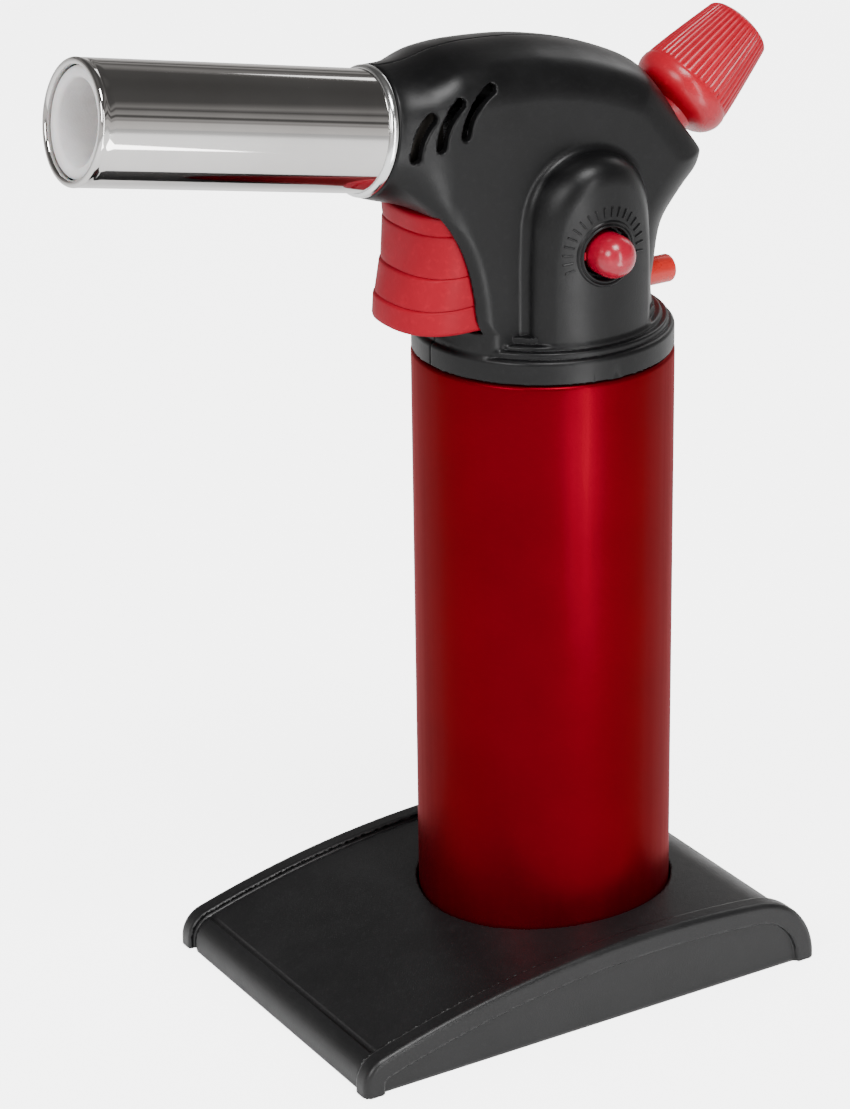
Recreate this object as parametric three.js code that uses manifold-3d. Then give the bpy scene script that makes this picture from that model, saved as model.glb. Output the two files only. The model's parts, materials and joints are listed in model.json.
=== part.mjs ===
// A bench butane torch for lampwork, standing in its arched foot.
// Millimetres, +Z up. The nozzle points to -X and the flame-lock button is on the -Y side.
// The origin is on the table, under the middle of the whole object.
import * as THREE from 'three';
import { mergeVertices } from 'three/addons/utils/BufferGeometryUtils.js';
import Module from 'manifold-3d';

const wasm = await Module();
wasm.setup();

// ---------------------------------------------------------------- driving dimensions

const FIT = 0.3; // clearance between pieces that touch, slide or turn
const ROUND = 32; // sides of a large round piece
const SMALL_ROUND = 12; // sides of a small round piece
const OVER = 2; // how far a cutting tool runs past what it cuts

// Places that the pieces share.
const TORCH_X = 25.65; // tank axis, from the middle of the object
const NOZZLE_TILT = THREE.MathUtils.degToRad(10.68); // nozzle axis above -X
const NOZZLE_ABOVE_SEAT = 40.82; // height where the nozzle axis crosses the tank axis
const KNOB_TILT = THREE.MathUtils.degToRad(38.8); // knob axis above +X

// Stand.
const STAND_FRONT = 64.6; // from the tank axis to the front edge
const STAND_REAR = 41.2; // from the tank axis to the rear edge
const STAND_HALF_WIDTH = 37.7;
const STAND_HEIGHT = 17; // top of the arch
const STAND_ARCH_X = 3; // where the arch is highest, from the tank axis
const STAND_ARCH_RADIUS = 221;
const STAND_REAR_ROLL = 12;
const STAND_FRONT_ROLL = 6;
const STAND_WALL = 2.2;
const RIM_WIDTH = 4.2; // raised bead along each long side
const RIM_HEIGHT = 0.9;
const SOCKET_WALL = 2.2;
const SOCKET_FLOOR = 2.0;
const SOCKET_FLOOR_Z = 2.2;
const REFILL_OPENING_RADIUS = 9;

// Tank.
const TANK_RADIUS = 25.5;
const TANK_LENGTH = 124.6; // from its foot to its shoulder
const TANK_WALL = 1.2;
const TANK_NECK_RADIUS = 20;
const TANK_NECK_HEIGHT = 5.6;
const TANK_FOOT_Z = SOCKET_FLOOR_Z + SOCKET_FLOOR + FIT;
const TANK_SHOULDER_Z = TANK_FOOT_Z + TANK_LENGTH;
const TANK_TOP_Z = TANK_SHOULDER_Z + TANK_NECK_HEIGHT;
const BASE_RECESS = 2.5; // how far the base plate sits up inside the foot
const BASE_THICKNESS = 1.6;
const BASE_Z = TANK_FOOT_Z + BASE_RECESS;

// Refill valve, in the middle of the base plate.
const REFILL_BODY_RADIUS = 4.4;
const REFILL_FLANGE_RADIUS = 6.2;
const REFILL_BORE = 2.4;
const REFILL_BODY_LENGTH = 15;
const REFILL_STEM_RADIUS = 1.3;
const REFILL_TRAVEL = 1.5;

// Main valve, in the middle of the tank's neck.
const VALVE_RADIUS = 6.5;
const VALVE_FLANGE_RADIUS = 8.5;
const VALVE_FLANGE_THICKNESS = 1.7;
const VALVE_DEPTH = 11; // below the top of the neck
const VALVE_TOP_RADIUS = 4.5;
const VALVE_TOP_HEIGHT = 3.8;
const VALVE_BORE = 1.9;
const STEM_RADIUS = 1.6;
const STEM_HEAD_RADIUS = 3.2;
const STEM_TRAVEL = 1.15;
const VALVE_FLANGE_Z = TANK_TOP_Z + FIT;
const VALVE_TOP_Z = VALVE_FLANGE_Z + VALVE_FLANGE_THICKNESS + VALVE_TOP_HEIGHT;

// Head housing. Heights are above the tank's shoulder.
const SEAT_Z = TANK_SHOULDER_Z + FIT;
const WALL = 1.9;
const COLLAR_RADIUS = 25.4;
const COLLAR_HEIGHT = 4.6;
const FLANGE_RADIUS = 23.3;
const FLANGE_TOP = 8.2;
const HEAD_HALF_WIDTH = 14.3;
const HEAD_FOOT = 7.6; // where the head grows out of the collar's flange
const HEAD_EDGE = 4; // rounding along the head's long edges
const DOME_RADIUS = 22.5; // about the tank axis
const DOME_HALF_WIDTH = 14.5;
const DOME_TOP = 44.6;
const BARREL_RADIUS = 12.3;
const SEAM = 0.3; // gap between the two halves
const VENT_WIDTH = 1.7;

// Nozzle and burner, along the nozzle axis from the tank axis.
const NOZZLE_RADIUS = 11.41;
const NOZZLE_WALL = 1.0;
const NOZZLE_END = 99.7;
const RING_START = 39.6;
const RING_LENGTH = 2;
const RING_RADIUS = 12.1;
const SPIGOT_RADIUS = 10.3; // nozzle's rear stub, inside the barrel
const SPIGOT_START = 29;
const CUP_RADIUS = NOZZLE_RADIUS - NOZZLE_WALL - FIT;
const CUP_BORE = 7.8;
const CUP_START = 74;
const CUP_RECESS = 0.9;
const BURNER_RADIUS = 5;
const BURNER_WALL = 0.8;
const BURNER_START = 16.6;
const JET_START = 8;
const JET_RADIUS = 2.6;
const HOLDER_THICKNESS = 2.6;
const ELECTRODE_OFFSET = 6.9; // below the nozzle axis
const ELECTRODE_RADIUS = 0.5;
const ELECTRODE_END = 86;
const INSULATOR_RADIUS = 1.5;
const INSULATOR_START = 23;

// Gas knob, along its axis from its wide end.
const KNOB_X = 29.9;
const KNOB_ABOVE_SEAT = 43.3;
const KNOB_LENGTH = 19.4;
const KNOB_WIDE_RADIUS = 10.3;
const KNOB_NARROW_RADIUS = 7;
const KNOB_BAND = 3.6; // smooth band at the wide end
const KNOB_RIM = 3.4; // how far the wide end's rounded rim reaches back
const KNOB_RECESS_DEPTH = 4.6; // floor of the dish that the rim sits in
const KNOB_FLUTES = 20;
const FLUTE_DEPTH = 0.5;
const KNOB_NECK_RADIUS = 5.4;
const KNOB_NECK_LENGTH = 5.2;
const SPINDLE_RADIUS = 1.8;
const FLOW_BODY_RADIUS = 5;
const FLOW_BODY_LENGTH = 11;
const GLAND_LENGTH = 2.2;

// Trigger and the mechanism behind it.
const TRIGGER_HALF_WIDTH = HEAD_HALF_WIDTH - WALL - FIT;
const TRIGGER_SIDE_END = 25.5; // where its straight sides curve in
const TRIGGER_LEG_INNER = 4.5;
const TRIGGER_LEG_OUTER = 7;
const TRIGGER_LEG_BOTTOM = 15.4;
const TRIGGER_LEG_TOP = 18;
const TRIGGER_WALL = 2;
const TRIGGER_REAR = 20; // rear edge, from the tank axis
const TRIGGER_TRAVEL = 6;
const TRIGGER_BOTTOM = 9.6;
const TRIGGER_BANDS = [
  { height: 4.6, front: 35.2 },
  { height: 6.2, front: 34.1 },
  { height: 8.2, front: 32.5 },
  { height: 3.8, front: 32.1 },
];
const POCKET_FLOOR = 9.1;
const FRAME_HALF_WIDTH = 9.6;
const FRAME_FRONT = 16.5;
const FRAME_WALL = 1.8;
const FRAME_REAR = 12.8;
const FRAME_HEIGHT = 24;
const PIEZO_HEIGHT = 24.1; // piezo axis above the seat
const PIEZO_HALF = 4.5;
const PIEZO_START = 12;
const PIEZO_LENGTH = 20;
const PLUNGER_RADIUS = 3;
const LEVER_X = 10.2;
const LEVER_ABOVE_SEAT = 13.2;
const LEVER_HALF_WIDTH = 7;
const PIN_RADIUS = 1;
const LEVER_ARM = 1.6; // thickness of the arm that the trigger's legs push
const LEVER_TOP = 18.6;

// Buttons.
const LOCK_ABOVE_SEAT = 24.6;
const LOCK_RADIUS = 4.5;
const LOCK_PROUD = 2.4; // centre of its round end, outside the dome
const LOCK_RECESS_RADIUS = 6.1;
const LOCK_RECESS_DEPTH = 1.2;
const LOCK_STEM_RADIUS = 2.2;
const LOCK_TRAVEL = 3;
const REAR_BUTTON_RADIUS = 2.8;
const REAR_BUTTON_END = 29.7;
const REAR_BUTTON_ABOVE_SEAT = 9.6;
const REAR_BUTTON_INNER = 17.6;
const REAR_BUTTON_TRAVEL = 2.5;
const REAR_CLIP_RADIUS = 3.9;
const REAR_STEM_RADIUS = 1.5;

// Screws that close the housing: place in the side view, above the seat.
const SCREWS = [
  { x: -14, z: 53.4 },
  { x: 12.6, z: 46.8 },
  { x: 16.2, z: 21.5 },
];
const SCREW_RADIUS = 1.2;
const SCREW_HEAD_RADIUS = 2.5;
const SCREW_HEAD_HEIGHT = 2;
const BOSS_RADIUS = 3.2;

// ---------------------------------------------------------------- materials

function finish(color, roughness, metalness) {
  return new THREE.MeshStandardMaterial({ color, roughness, metalness });
}

const candyRed = finish(0x8c0010, 0.35, 0.6);
const blackPlastic = finish(0x1c1c1d, 0.55, 0);
const redPlastic = finish(0xc01c28, 0.5, 0);
const buttonRed = finish(0xd01830, 0.25, 0);
const chrome = finish(0xd8d4cf, 0.08, 1);
const steel = finish(0xb8b8ba, 0.35, 1);
const brass = finish(0xb5913f, 0.35, 1);
const ceramic = finish(0xeeeae2, 0.8, 0);
const rubber = finish(0x151515, 0.9, 0);
const felt = finish(0xd9d4c4, 1, 0);
const framePlastic = finish(0x3b3b3d, 0.6, 0);

// ---------------------------------------------------------------- solids

// A closed geometry as a solid for boolean work.
function solid(geometry) {
  const bare = geometry.index ? geometry.toNonIndexed() : geometry.clone();
  bare.deleteAttribute('normal');
  bare.deleteAttribute('uv');
  const merged = mergeVertices(bare, 1e-3);
  return new wasm.Manifold(
    new wasm.Mesh({
      numProp: 3,
      vertProperties: new Float32Array(merged.attributes.position.array),
      triVerts: new Uint32Array(merged.index.array),
    }),
  );
}

// A solid back as a geometry.
function geometryOf(made) {
  const { vertProperties, triVerts, numProp } = made.getMesh();
  const positions = new Float32Array(triVerts.length * 3);
  triVerts.forEach((vertex, i) => {
    for (let axis = 0; axis < 3; axis += 1) {
      positions[i * 3 + axis] = vertProperties[vertex * numProp + axis];
    }
  });
  const geometry = new THREE.BufferGeometry();
  geometry.setAttribute('position', new THREE.BufferAttribute(positions, 3));
  geometry.computeVertexNormals();
  return geometry;
}

function joinAll(solids) {
  return solids.reduce((sum, next) => sum.add(next));
}

// A solid turned about +Z from [radius, z] points.
function turned(points, sides = ROUND) {
  const profile = points.map(([r, z]) => new THREE.Vector2(r, z));
  const geometry = new THREE.LatheGeometry(profile, sides);
  geometry.rotateX(Math.PI / 2);
  return solid(geometry);
}

function disc(radius, bottom, top, sides = ROUND) {
  return turned([[0, bottom], [radius, bottom], [radius, top], [0, top]], sides);
}

function ring(outer, inner, bottom, top, sides = ROUND) {
  return turned(
    [[inner, bottom], [outer, bottom], [outer, top], [inner, top], [inner, bottom]],
    sides,
  );
}

// A solid moved by a matrix.
function placed(made, matrix) {
  return made.transform(matrix.elements);
}

function shifted(made, x, y, z) {
  return placed(made, new THREE.Matrix4().makeTranslation(x, y, z));
}

// A solid turned about +Z, laid so that its axis runs along `direction` from `start`.
function laid(made, start, direction) {
  const turn = new THREE.Quaternion().setFromUnitVectors(
    new THREE.Vector3(0, 0, 1),
    new THREE.Vector3(...direction).normalize(),
  );
  const place = new THREE.Vector3(...start);
  return placed(made, new THREE.Matrix4().compose(place, turn, new THREE.Vector3(1, 1, 1)));
}

function block(x0, x1, y0, y1, z0, z1) {
  const geometry = new THREE.BoxGeometry(x1 - x0, y1 - y0, z1 - z0);
  geometry.translate((x0 + x1) / 2, (y0 + y1) / 2, (z0 + z1) / 2);
  return solid(geometry);
}

// A side-view outline of [x, z] points, as wide as half on both sides of the middle plane,
// with its long edges rounded by `edge`.
function sideSlab(outline, half, edge = 0) {
  const shape = new THREE.Shape(outline.map(([x, z]) => new THREE.Vector2(x, z)));
  const options = {
    depth: 2 * (half - edge),
    bevelEnabled: edge > 0,
    bevelThickness: edge,
    bevelSize: edge,
    bevelOffset: -edge,
    bevelSegments: 3,
  };
  const geometry = new THREE.ExtrudeGeometry(shape, options);
  geometry.translate(0, 0, edge - half);
  geometry.rotateX(Math.PI / 2);
  return solid(geometry);
}

// A plan-view outline of [x, y] points, from one height to another.
function planSlab(outline, bottom, top) {
  const shape = new THREE.Shape(outline.map(([x, y]) => new THREE.Vector2(x, y)));
  const geometry = new THREE.ExtrudeGeometry(shape, { depth: top - bottom, bevelEnabled: false });
  geometry.translate(0, 0, bottom);
  return solid(geometry);
}

// A round tube or wire along a smooth curve through points.
function wire(points, radius, steps) {
  const curve = new THREE.CatmullRomCurve3(points.map((p) => new THREE.Vector3(...p)));
  const section = new THREE.Shape();
  section.absarc(0, 0, radius, 0, 2 * Math.PI, false);
  const geometry = new THREE.ExtrudeGeometry(section, {
    steps,
    extrudePath: curve,
    curveSegments: 3,
  });
  return solid(geometry);
}

// ---------------------------------------------------------------- shared places

const torch = new THREE.Group();
torch.position.x = TORCH_X;

const CLIP = 0.8; // thickness of a button's clip
const SPRING_SOLID = 1.6; // length of a button's spring pressed solid
const LOCK_CUP_FLOOR = DOME_RADIUS - LOCK_RECESS_DEPTH - LOCK_TRAVEL - SPRING_SOLID;
const LOCK_CUP_BACK = LOCK_CUP_FLOOR - WALL;
const LOCK_STEM_END = LOCK_CUP_BACK - 3;
const REAR_GUIDE = REAR_BUTTON_INNER - REAR_BUTTON_TRAVEL - SPRING_SOLID - FIT;

const NOZZLE_CROSSING = [0, 0, SEAT_Z + NOZZLE_ABOVE_SEAT];
const NOZZLE_DIRECTION = [-Math.cos(NOZZLE_TILT), 0, Math.sin(NOZZLE_TILT)];
const KNOB_SEAT = [KNOB_X, 0, SEAT_Z + KNOB_ABOVE_SEAT];
const KNOB_RECESS_RADIUS = KNOB_WIDE_RADIUS + 2 * FIT;
const KNOB_DIRECTION = [Math.cos(KNOB_TILT), 0, Math.sin(KNOB_TILT)];

function onNozzle(made) {
  return laid(made, NOZZLE_CROSSING, NOZZLE_DIRECTION);
}

function onKnob(made) {
  return laid(made, KNOB_SEAT, KNOB_DIRECTION);
}

// A point `along` an axis from `start`, and `across` it in the side view.
function offAxis(start, direction, along, across) {
  const [dx, , dz] = direction;
  return [start[0] + dx * along - dz * across, 0, start[2] + dz * along + dx * across];
}

function piece(name, material, made, parent = torch) {
  const mesh = new THREE.Mesh(geometryOf(made), material);
  mesh.name = name;
  parent.add(mesh);
  return mesh;
}

// ---------------------------------------------------------------- stand

const RADIAN_STEP = Math.PI / 12;

// The stand's side view, shrunk by `inset` all round and open at the table.
function standOutline(inset) {
  const archRadius = STAND_ARCH_RADIUS - inset;
  const archZ = STAND_HEIGHT - STAND_ARCH_RADIUS;
  const arch = (x) => archZ + Math.sqrt(archRadius ** 2 - (x - STAND_ARCH_X) ** 2);
  const front = -STAND_FRONT + inset;
  const rear = STAND_REAR - inset;
  const rearRoll = STAND_REAR_ROLL - inset;
  const frontRoll = STAND_FRONT_ROLL - inset;
  const rearTop = arch(rear - rearRoll);
  const frontTop = arch(front + frontRoll);
  const outline = [[front, 0]];
  for (let angle = Math.PI - RADIAN_STEP; angle > Math.PI / 2; angle -= RADIAN_STEP) {
    outline.push([
      front + frontRoll + frontRoll * Math.cos(angle),
      frontTop * Math.sin(angle),
    ]);
  }
  const archSteps = 14;
  const archStart = front + frontRoll;
  const archLength = rear - rearRoll - archStart;
  for (let i = 0; i <= archSteps; i += 1) {
    const x = archStart + (archLength * i) / archSteps;
    outline.push([x, arch(x)]);
  }
  for (let angle = Math.PI / 2 - RADIAN_STEP; angle > RADIAN_STEP / 2; angle -= RADIAN_STEP) {
    outline.push([rear - rearRoll + rearRoll * Math.cos(angle), rearTop * Math.sin(angle)]);
  }
  outline.push([rear, 0]);
  return outline;
}

function lowered(outline, drop) {
  return outline.map(([x, z]) => [x, z - drop]);
}

function makeStand() {
  const outer = sideSlab(standOutline(0), STAND_HALF_WIDTH);
  const inner = sideSlab(
    lowered(standOutline(STAND_WALL), OVER),
    STAND_HALF_WIDTH - STAND_WALL,
  );
  const innerTall = inner.add(shifted(inner, 0, 0, OVER - RIM_HEIGHT));
  const panelTop = sideSlab(standOutline(-OVER), STAND_HALF_WIDTH - RIM_WIDTH);
  const panelKept = sideSlab(standOutline(RIM_HEIGHT), STAND_HALF_WIDTH);
  const panel = panelTop.subtract(panelKept);
  const socket = disc(TANK_RADIUS + FIT + SOCKET_WALL, SOCKET_FLOOR_Z, STAND_HEIGHT)
    .intersect(sideSlab(standOutline(RIM_HEIGHT), STAND_HALF_WIDTH));
  const socketBore = disc(TANK_RADIUS + FIT, SOCKET_FLOOR_Z + SOCKET_FLOOR, STAND_HEIGHT + OVER);
  const refillOpening = disc(REFILL_OPENING_RADIUS, -OVER, SOCKET_FLOOR_Z + SOCKET_FLOOR + OVER);
  return outer
    .subtract(panel)
    .subtract(innerTall)
    .add(socket)
    .subtract(socketBore)
    .subtract(refillOpening);
}

piece('stand', blackPlastic, makeStand());

// ---------------------------------------------------------------- tank

function makeTankBody() {
  const inner = TANK_RADIUS - TANK_WALL;
  const neckInner = TANK_NECK_RADIUS - TANK_WALL;
  const shoulder = TANK_SHOULDER_Z;
  const valveHole = VALVE_RADIUS + FIT;
  return turned([
    [inner, TANK_FOOT_Z],
    [TANK_RADIUS, TANK_FOOT_Z],
    [TANK_RADIUS, shoulder],
    [TANK_NECK_RADIUS, shoulder],
    [TANK_NECK_RADIUS, TANK_TOP_Z],
    [valveHole, TANK_TOP_Z],
    [valveHole, TANK_TOP_Z - TANK_WALL],
    [neckInner, TANK_TOP_Z - TANK_WALL],
    [neckInner, shoulder - TANK_WALL],
    [inner, shoulder - TANK_WALL],
    [inner, TANK_FOOT_Z],
  ]);
}

function makeTankBase() {
  const rim = TANK_RADIUS - TANK_WALL - FIT;
  const hole = REFILL_BODY_RADIUS + FIT;
  const top = BASE_Z + BASE_THICKNESS;
  return turned([
    [hole, BASE_Z],
    [rim - BASE_THICKNESS, BASE_Z],
    [rim - BASE_THICKNESS, TANK_FOOT_Z],
    [rim, TANK_FOOT_Z],
    [rim, top],
    [hole, top],
    [hole, BASE_Z],
  ]);
}

const tankBody = piece('tank_body', candyRed, makeTankBody());
piece('tank_base', steel, makeTankBase());

// ---------------------------------------------------------------- refill valve

const REFILL_FLANGE_Z = BASE_Z - FIT;
const REFILL_TOP_Z = REFILL_FLANGE_Z + REFILL_BODY_LENGTH;
const REFILL_FLANGE_THICKNESS = 1.4;
const REFILL_THROAT = REFILL_STEM_RADIUS + FIT;
const REFILL_COLLAR_RADIUS = REFILL_BORE - FIT;
const REFILL_COLLAR_Z = REFILL_FLANGE_Z + 4.5;
const REFILL_COLLAR_THICKNESS = 1.2;

function makeRefillBody() {
  const nose = REFILL_FLANGE_Z - REFILL_FLANGE_THICKNESS;
  const boreStart = REFILL_FLANGE_Z + 1;
  return turned([
    [REFILL_THROAT, nose],
    [REFILL_FLANGE_RADIUS, nose],
    [REFILL_FLANGE_RADIUS, REFILL_FLANGE_Z],
    [REFILL_BODY_RADIUS, REFILL_FLANGE_Z],
    [REFILL_BODY_RADIUS, REFILL_TOP_Z],
    [REFILL_THROAT, REFILL_TOP_Z],
    [REFILL_THROAT, REFILL_TOP_Z - 1],
    [REFILL_BORE, REFILL_TOP_Z - 1],
    [REFILL_BORE, boreStart],
    [REFILL_THROAT, boreStart],
    [REFILL_THROAT, nose],
  ], 24);
}

function makeRefillStem() {
  const tip = REFILL_FLANGE_Z - REFILL_FLANGE_THICKNESS - 1.4;
  const collarTop = REFILL_COLLAR_Z + REFILL_COLLAR_THICKNESS;
  return turned([
    [0, tip],
    [REFILL_STEM_RADIUS, tip],
    [REFILL_STEM_RADIUS, REFILL_COLLAR_Z],
    [REFILL_COLLAR_RADIUS, REFILL_COLLAR_Z],
    [REFILL_COLLAR_RADIUS, collarTop],
    [REFILL_STEM_RADIUS, collarTop],
    [REFILL_STEM_RADIUS, REFILL_TOP_Z + 1],
    [0, REFILL_TOP_Z + 1],
  ], SMALL_ROUND);
}

function makeRefillSpring() {
  const bottom = REFILL_COLLAR_Z + REFILL_COLLAR_THICKNESS + FIT + REFILL_TRAVEL;
  return ring(REFILL_BORE - FIT / 2, REFILL_THROAT, bottom, REFILL_TOP_Z - 1 - FIT, SMALL_ROUND);
}

function makeRefillSeal() {
  const bottom = REFILL_FLANGE_Z + 1 + FIT;
  return ring(REFILL_BORE - FIT / 2, REFILL_THROAT, bottom, bottom + 1.5, SMALL_ROUND);
}

piece('refill_valve_body', brass, makeRefillBody());
piece('refill_valve_stem', brass, makeRefillStem());
piece('refill_valve_spring', steel, makeRefillSpring());
piece('refill_valve_seal', rubber, makeRefillSeal());

// ---------------------------------------------------------------- main valve

const STEM_FOOT_Z = TANK_TOP_Z - VALVE_DEPTH + 2;
const STEM_HEAD_Z = VALVE_TOP_Z + 2.3;
const STEM_HEAD_THICKNESS = 0.8;
const VALVE_CHAMBER_RADIUS = 4;
const VALVE_CHAMBER_TOP = TANK_TOP_Z - 3;
const STEM_FOOT_RADIUS = 3;
const STEM_FOOT_THICKNESS = 1.2;

// The seal lies in a groove in the underside of the valve's flange.
const SEAL_GROOVE_RADIUS = VALVE_FLANGE_RADIUS - 0.7;
const SEAL_GROOVE_DEPTH = 1.2;

function makeValveBody() {
  const bottom = TANK_TOP_Z - VALVE_DEPTH;
  const flangeTop = VALVE_FLANGE_Z + VALVE_FLANGE_THICKNESS;
  const inlet = 1.2;
  return turned([
    [inlet, bottom],
    [VALVE_RADIUS, bottom],
    [VALVE_RADIUS, VALVE_FLANGE_Z + SEAL_GROOVE_DEPTH],
    [SEAL_GROOVE_RADIUS, VALVE_FLANGE_Z + SEAL_GROOVE_DEPTH],
    [SEAL_GROOVE_RADIUS, VALVE_FLANGE_Z],
    [VALVE_FLANGE_RADIUS, VALVE_FLANGE_Z],
    [VALVE_FLANGE_RADIUS, flangeTop],
    [VALVE_TOP_RADIUS, flangeTop],
    [VALVE_TOP_RADIUS, VALVE_TOP_Z],
    [VALVE_BORE, VALVE_TOP_Z],
    [VALVE_BORE, VALVE_CHAMBER_TOP],
    [VALVE_CHAMBER_RADIUS, VALVE_CHAMBER_TOP],
    [VALVE_CHAMBER_RADIUS, bottom + 1.2],
    [inlet, bottom + 1.2],
    [inlet, bottom],
  ], 20);
}

function makeValveStem() {
  const footTop = STEM_FOOT_Z + STEM_FOOT_THICKNESS;
  const headTop = STEM_HEAD_Z + STEM_HEAD_THICKNESS;
  return turned([
    [0, STEM_FOOT_Z],
    [STEM_FOOT_RADIUS, STEM_FOOT_Z],
    [STEM_FOOT_RADIUS, footTop],
    [STEM_RADIUS, footTop],
    [STEM_RADIUS, STEM_HEAD_Z],
    [STEM_HEAD_RADIUS, STEM_HEAD_Z],
    [STEM_HEAD_RADIUS, headTop],
    [0, headTop],
  ], SMALL_ROUND);
}

function makeValveSpring() {
  const bottom = STEM_FOOT_Z + STEM_FOOT_THICKNESS + STEM_TRAVEL + FIT;
  const inner = STEM_RADIUS + FIT;
  return ring(STEM_FOOT_RADIUS, inner, bottom, VALVE_CHAMBER_TOP - FIT, SMALL_ROUND);
}

function makeValveSeal() {
  const top = VALVE_FLANGE_Z + SEAL_GROOVE_DEPTH - FIT;
  return ring(SEAL_GROOVE_RADIUS - FIT, VALVE_RADIUS + FIT, TANK_TOP_Z + FIT, top, 20);
}

function makeGasFilter() {
  const top = TANK_TOP_Z - VALVE_DEPTH - FIT;
  return disc(4, top - 16, top, SMALL_ROUND);
}

piece('main_valve_body', brass, makeValveBody());
piece('main_valve_stem', brass, makeValveStem());
piece('main_valve_spring', steel, makeValveSpring());
piece('main_valve_seal', rubber, makeValveSeal());
piece('gas_filter', felt, makeGasFilter());

// ---------------------------------------------------------------- head housing

// The head's side view, as [x, height above the seat], from its front foot round over the top.
const HEAD_OUTLINE = [
  [-24.3, HEAD_FOOT],
  [20.9, HEAD_FOOT],
  [20.9, 14.6],
  [21.8, 20],
  [23.9, 25.8],
  [28.4, 31.2],
  [30.7, 35.6],
  [30.2, 38],
  [17.5, 53.8],
  [11, 57],
  [4, 59.4],
  [-5, 61.3],
  [-14, 62.1],
  [-22, 62],
  [-29, 61],
  [-33.5, 36.9],
  [-30.5, 33],
  [-27.8, 28.1],
  [-25.7, 22],
  [-24.7, 16],
];

// An outline moved inwards by a wall, corner by corner.
function insetOutline(outline, wall) {
  const count = outline.length;
  return outline.map((corner, i) => {
    const before = outline[(i + count - 1) % count];
    const after = outline[(i + 1) % count];
    const a = new THREE.Vector2(corner[0] - before[0], corner[1] - before[1]).normalize();
    const b = new THREE.Vector2(after[0] - corner[0], after[1] - corner[1]).normalize();
    const inward = new THREE.Vector2(-a.y - b.y, a.x + b.x);
    const stretch = wall / (inward.lengthSq() / 2);
    return [corner[0] + inward.x * stretch, corner[1] + inward.y * stretch];
  });
}

function aboveSeat(outline) {
  return outline.map(([x, z]) => [x, SEAT_Z + z]);
}

// The dome's side view: straight sides and a half-round top.
function domeOutline(inset) {
  const half = DOME_HALF_WIDTH - inset;
  const centre = SEAT_Z + DOME_TOP - DOME_HALF_WIDTH;
  const bottom = SEAT_Z + FLANGE_TOP - 1;
  const outline = [[-half, bottom], [half, bottom]];
  const steps = 10;
  for (let i = 0; i <= steps; i += 1) {
    const angle = (Math.PI * i) / steps;
    outline.push([half * Math.cos(angle), centre + half * Math.sin(angle)]);
  }
  return outline;
}

function dome(inset) {
  const radius = DOME_RADIUS - inset;
  const round = disc(radius, SEAT_Z, SEAT_Z + DOME_TOP + OVER);
  return round.intersect(sideSlab(domeOutline(inset), DOME_RADIUS + OVER));
}

function makeCollar() {
  return turned([
    [0, SEAT_Z],
    [COLLAR_RADIUS, SEAT_Z],
    [COLLAR_RADIUS, SEAT_Z + COLLAR_HEIGHT - 0.6],
    [COLLAR_RADIUS - 0.6, SEAT_Z + COLLAR_HEIGHT],
    [FLANGE_RADIUS + 0.7, SEAT_Z + COLLAR_HEIGHT],
    [FLANGE_RADIUS + 0.7, SEAT_Z + COLLAR_HEIGHT + 1],
    [FLANGE_RADIUS, SEAT_Z + COLLAR_HEIGHT + 1.3],
    [FLANGE_RADIUS, SEAT_Z + FLANGE_TOP],
    [0, SEAT_Z + FLANGE_TOP],
  ]);
}

// One curved air slot, cut through both side walls.
const VENT_PITCH = 5.4;
const VENTS = 3;

function makeVent(index) {
  const foot = [-34.2 + index * VENT_PITCH, SEAT_Z + 47.6 + index * 1.1];
  const lean = [1.2 + index * 0.5, 4.4];
  const tip = [3.6 + index * 0.9, 7.2 + index * 0.5];
  const middle = [foot[0] + lean[0], foot[1] + lean[1]];
  const end = [foot[0] + tip[0], foot[1] + tip[1]];
  const half = VENT_WIDTH / 2;
  const bars = [[foot, middle], [middle, end]].map(([from, to]) => {
    const along = new THREE.Vector2(to[0] - from[0], to[1] - from[1]).normalize();
    const side = [-along.y * half, along.x * half];
    return sideSlab([
      [from[0] - side[0], from[1] - side[1]],
      [to[0] - side[0], to[1] - side[1]],
      [to[0] + side[0], to[1] + side[1]],
      [from[0] + side[0], from[1] + side[1]],
    ], HEAD_HALF_WIDTH + OVER);
  });
  const joints = [foot, middle, end].map(([x, z]) => laid(
    disc(half * 1.02, -HEAD_HALF_WIDTH - OVER, HEAD_HALF_WIDTH + OVER, 12),
    [x, 0, z],
    [0, 1, 0],
  ));
  return joinAll([...bars, ...joints]);
}

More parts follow.
